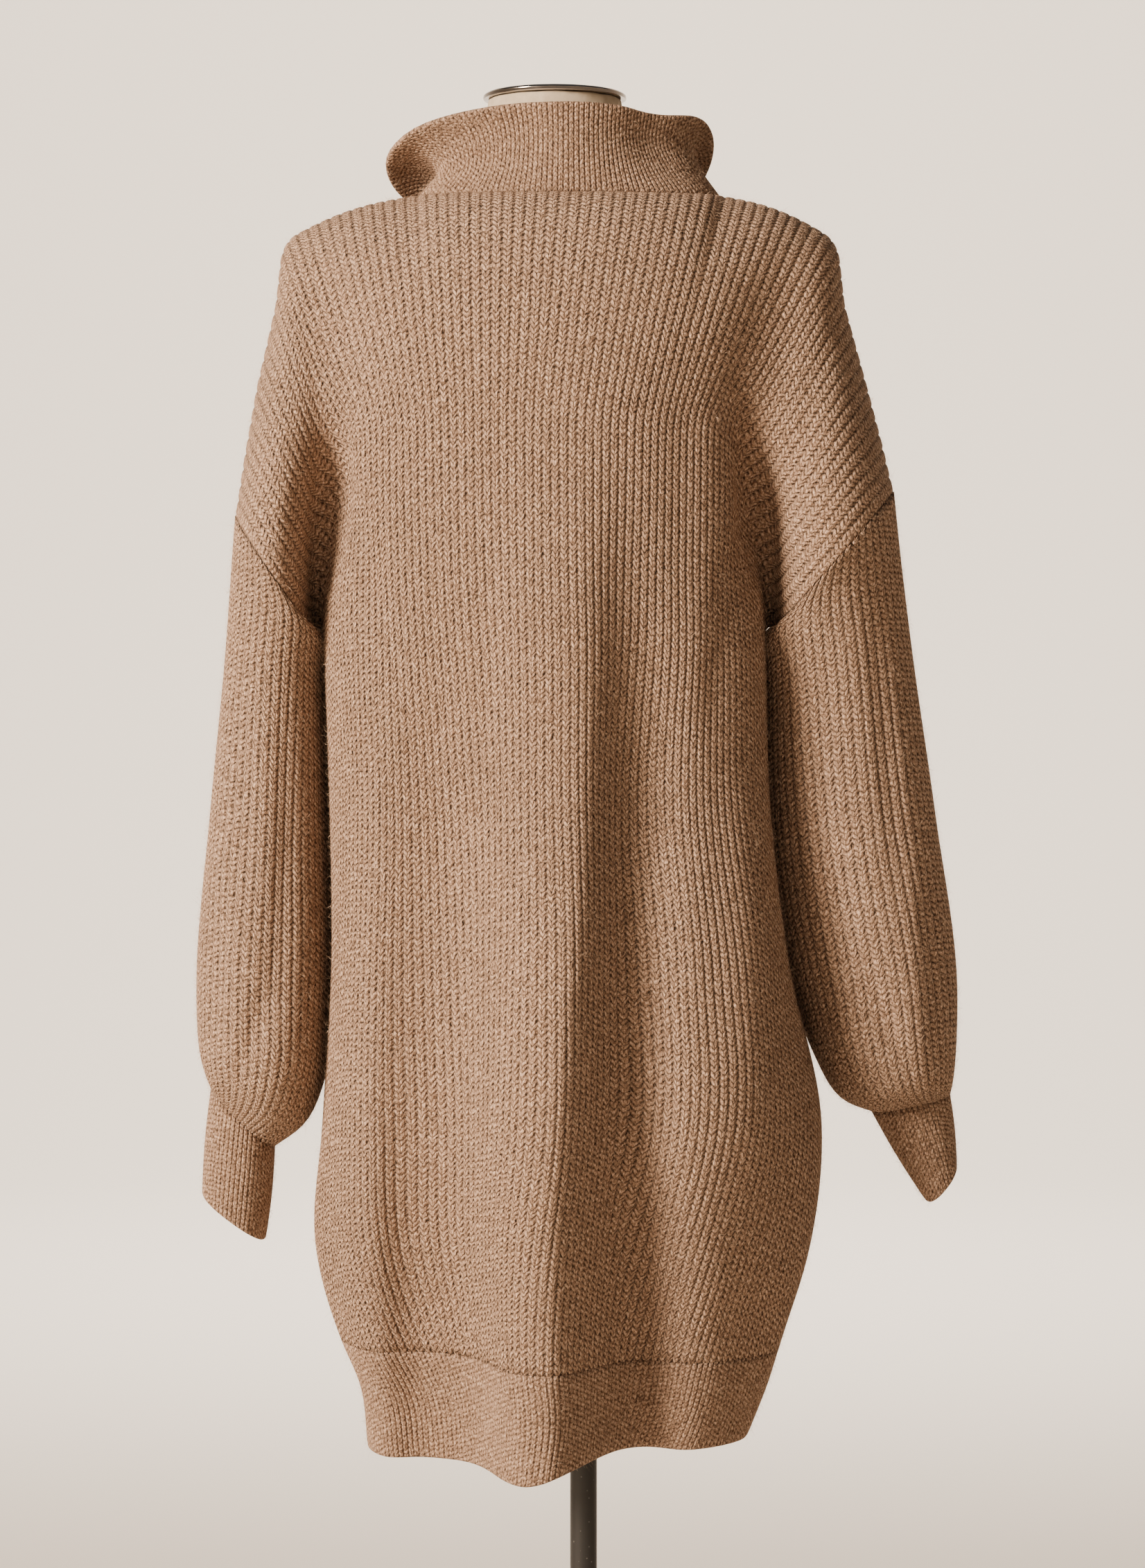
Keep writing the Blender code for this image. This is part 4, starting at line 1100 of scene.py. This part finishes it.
def chrome():
    material, tree = new_material("polished_chrome")
    smudge = noise(tree, object_place(tree), 70.0, 5.0)
    return shaded(material, {
        "Roughness": spread(tree, smudge, 0.35, 0.75, 0.1, 0.24),
        "Base Color": (0.3, 0.27, 0.25, 1.0), "Metallic": 1.0})


def turned(name, profile, steps, look, centre=(0.0, 0.0)):
    """A turned piece: its half outline, spun round the upright axis."""
    outline = [(r + centre[0], centre[1], z) for r, z in profile]
    piece = new_piece(name, outline, [], [(i, i + 1) for i in range(len(outline) - 1)])
    edit(piece)
    bpy.ops.mesh.spin(steps=steps, angle=2 * math.pi, center=(*centre, 0.0), axis=(0, 0, 1))
    bpy.ops.mesh.select_all(action="SELECT")
    bpy.ops.mesh.remove_doubles(threshold=0.00002)
    bpy.ops.mesh.normals_make_consistent(inside=False)
    bpy.ops.object.mode_set(mode="OBJECT")
    bpy.ops.object.shade_smooth_by_angle(angle=math.radians(35))
    piece.data.materials.append(look)
    return piece


low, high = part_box("neck_cap")
radius = (high.x - low.x) / 2
cap = turned("chrome_cap", [
    (0.0, high.z), (radius - 0.004, high.z), (radius - 0.002, high.z - 0.0003),
    (radius - 0.0007, high.z - 0.001), (radius, high.z - 0.0019), (radius, low.z + 0.0008),
    (radius - 0.0003, low.z + 0.0002), (radius - 0.001, low.z), (0.0, low.z)],
    96, chrome(), tuple((low + high) / 2)[:2])
worn(cap, "chrome", "neck_cap")


# ---- Pole and base ----
# The form stands on a steel tube in a round weighted plate, both in satin black lacquer, with
# a little pale lint from the wool clinging to them.

def satin_black():
    material, tree = new_material("satin_black_lacquer")
    place = object_place(tree)
    specks = node(tree, "TexVoronoi", {"Vector": place, "Scale": 190.0, "Randomness": 1.0})
    lint = spread(tree, specks.outputs["Distance"], 0.13, 0.07)
    peel = noise(tree, place, 420.0, 2.0)
    return shaded(material, {
        "Base Color": blend(tree, lint, (0.012, 0.012, 0.0125), (0.1, 0.094, 0.088)),
        "Roughness": spread(tree, peel, 0.0, 1.0, 0.3, 0.46),
        "Normal": bumped(tree, 0.15, 0.0003, peel)})


LACQUER = satin_black()
low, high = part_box("pole")
radius = (high.x - low.x) / 2
tube = turned("black_tube", [(0.0, high.z), (radius, high.z), (radius, low.z), (0.0, low.z)],
              64, LACQUER)
worn(tube, "black_steel", "pole")

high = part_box("base")[1]
plate = turned("black_base", [
    (0.0, high.z), (0.0155, high.z), (0.018, high.z - 0.0008), (0.019, high.z - 0.003),
    (0.019, 0.021), (0.0205, 0.016), (0.024, 0.0125), (0.031, 0.0104), (0.042, 0.01),
    (high.x - 0.004, 0.01), (high.x - 0.0012, 0.009), (high.x, 0.0065),
    (high.x, 0.0012), (high.x - 0.0012, 0.0), (0.0, 0.0)], 128, LACQUER)
worn(plate, "black_steel", "base")


# ---- Room, lights and camera ----
# A pale round floor curves up into a plain wall. A soft key light stands behind the garment on
# its left, which is the left of the view. Two more lamps light the wall, strongly in front of
# the garment and weakly behind it, and the surround is even and pale.

FLOOR_RADIUS = 6.0
WALL_CURVE = 3.0
CURVE_STEPS = 12
WALL_HEIGHT = 9.0
FLOOR_DROP = 0.0004


def matt_paper():
    material, tree = new_material("pale_matt_paper")
    return shaded(material, {
        "Base Color": (0.735, 0.665, 0.585, 1.0), "Roughness": 1.0,
        "Specular IOR Level": 0.0})


profile = [(FLOOR_RADIUS * k / 3, 0.0) for k in range(4)]
for step in range(1, CURVE_STEPS + 1):
    angle = math.pi / 2 * step / CURVE_STEPS
    profile.append((FLOOR_RADIUS + WALL_CURVE * math.sin(angle),
                    WALL_CURVE * (1.0 - math.cos(angle))))
profile.append((FLOOR_RADIUS + WALL_CURVE, WALL_HEIGHT))
turned("paper_room", [(r, z - FLOOR_DROP) for r, z in profile], 96, matt_paper())

world = bpy.data.worlds.new("pale_air")
world.use_nodes = True
feed(world.node_tree, world.node_tree.nodes["Background"], {0: (0.94, 0.98, 1.0, 1.0), 1: 0.13})
bpy.context.scene.world = world


def soft_light(name, place, aim, size, power, colour):
    data = bpy.data.lights.new(name, "AREA")
    data.shape = "DISK"
    data.size = size
    data.energy = power
    data.color = colour
    lamp = link(bpy.data.objects.new(name, data))
    lamp.location = place
    away = np.array(place) - np.array(aim)
    lamp.rotation_euler = (math.acos(away[2] / np.linalg.norm(away)), 0.0,
                           math.atan2(away[1], away[0]) + math.pi / 2)
    lamp.visible_camera = False


soft_light("key", (2.6, 2.15, 2.3), (0.0, 0.0, 1.0), 1.3, 375.0, (1.0, 0.82, 0.64))
soft_light("wall_far", (0.0, -3.6, 4.2), (0.0, -8.0, 1.2), 3.0, 760.0, (1.0, 0.95, 0.89))
soft_light("wall_near", (0.0, 4.2, 4.6), (0.0, 9.0, 2.0), 3.0, 60.0, (1.0, 0.95, 0.89))

view = bpy.data.cameras.new("camera")
view.lens = 90.96
view.sensor_width = 36.0
view.shift_y = -0.0449
camera = link(bpy.data.objects.new("camera", view))
camera.location = (0.0078, 2.8, 1.03)
camera.rotation_euler = (math.pi / 2, 0.0, math.pi)
bpy.context.scene.camera = camera
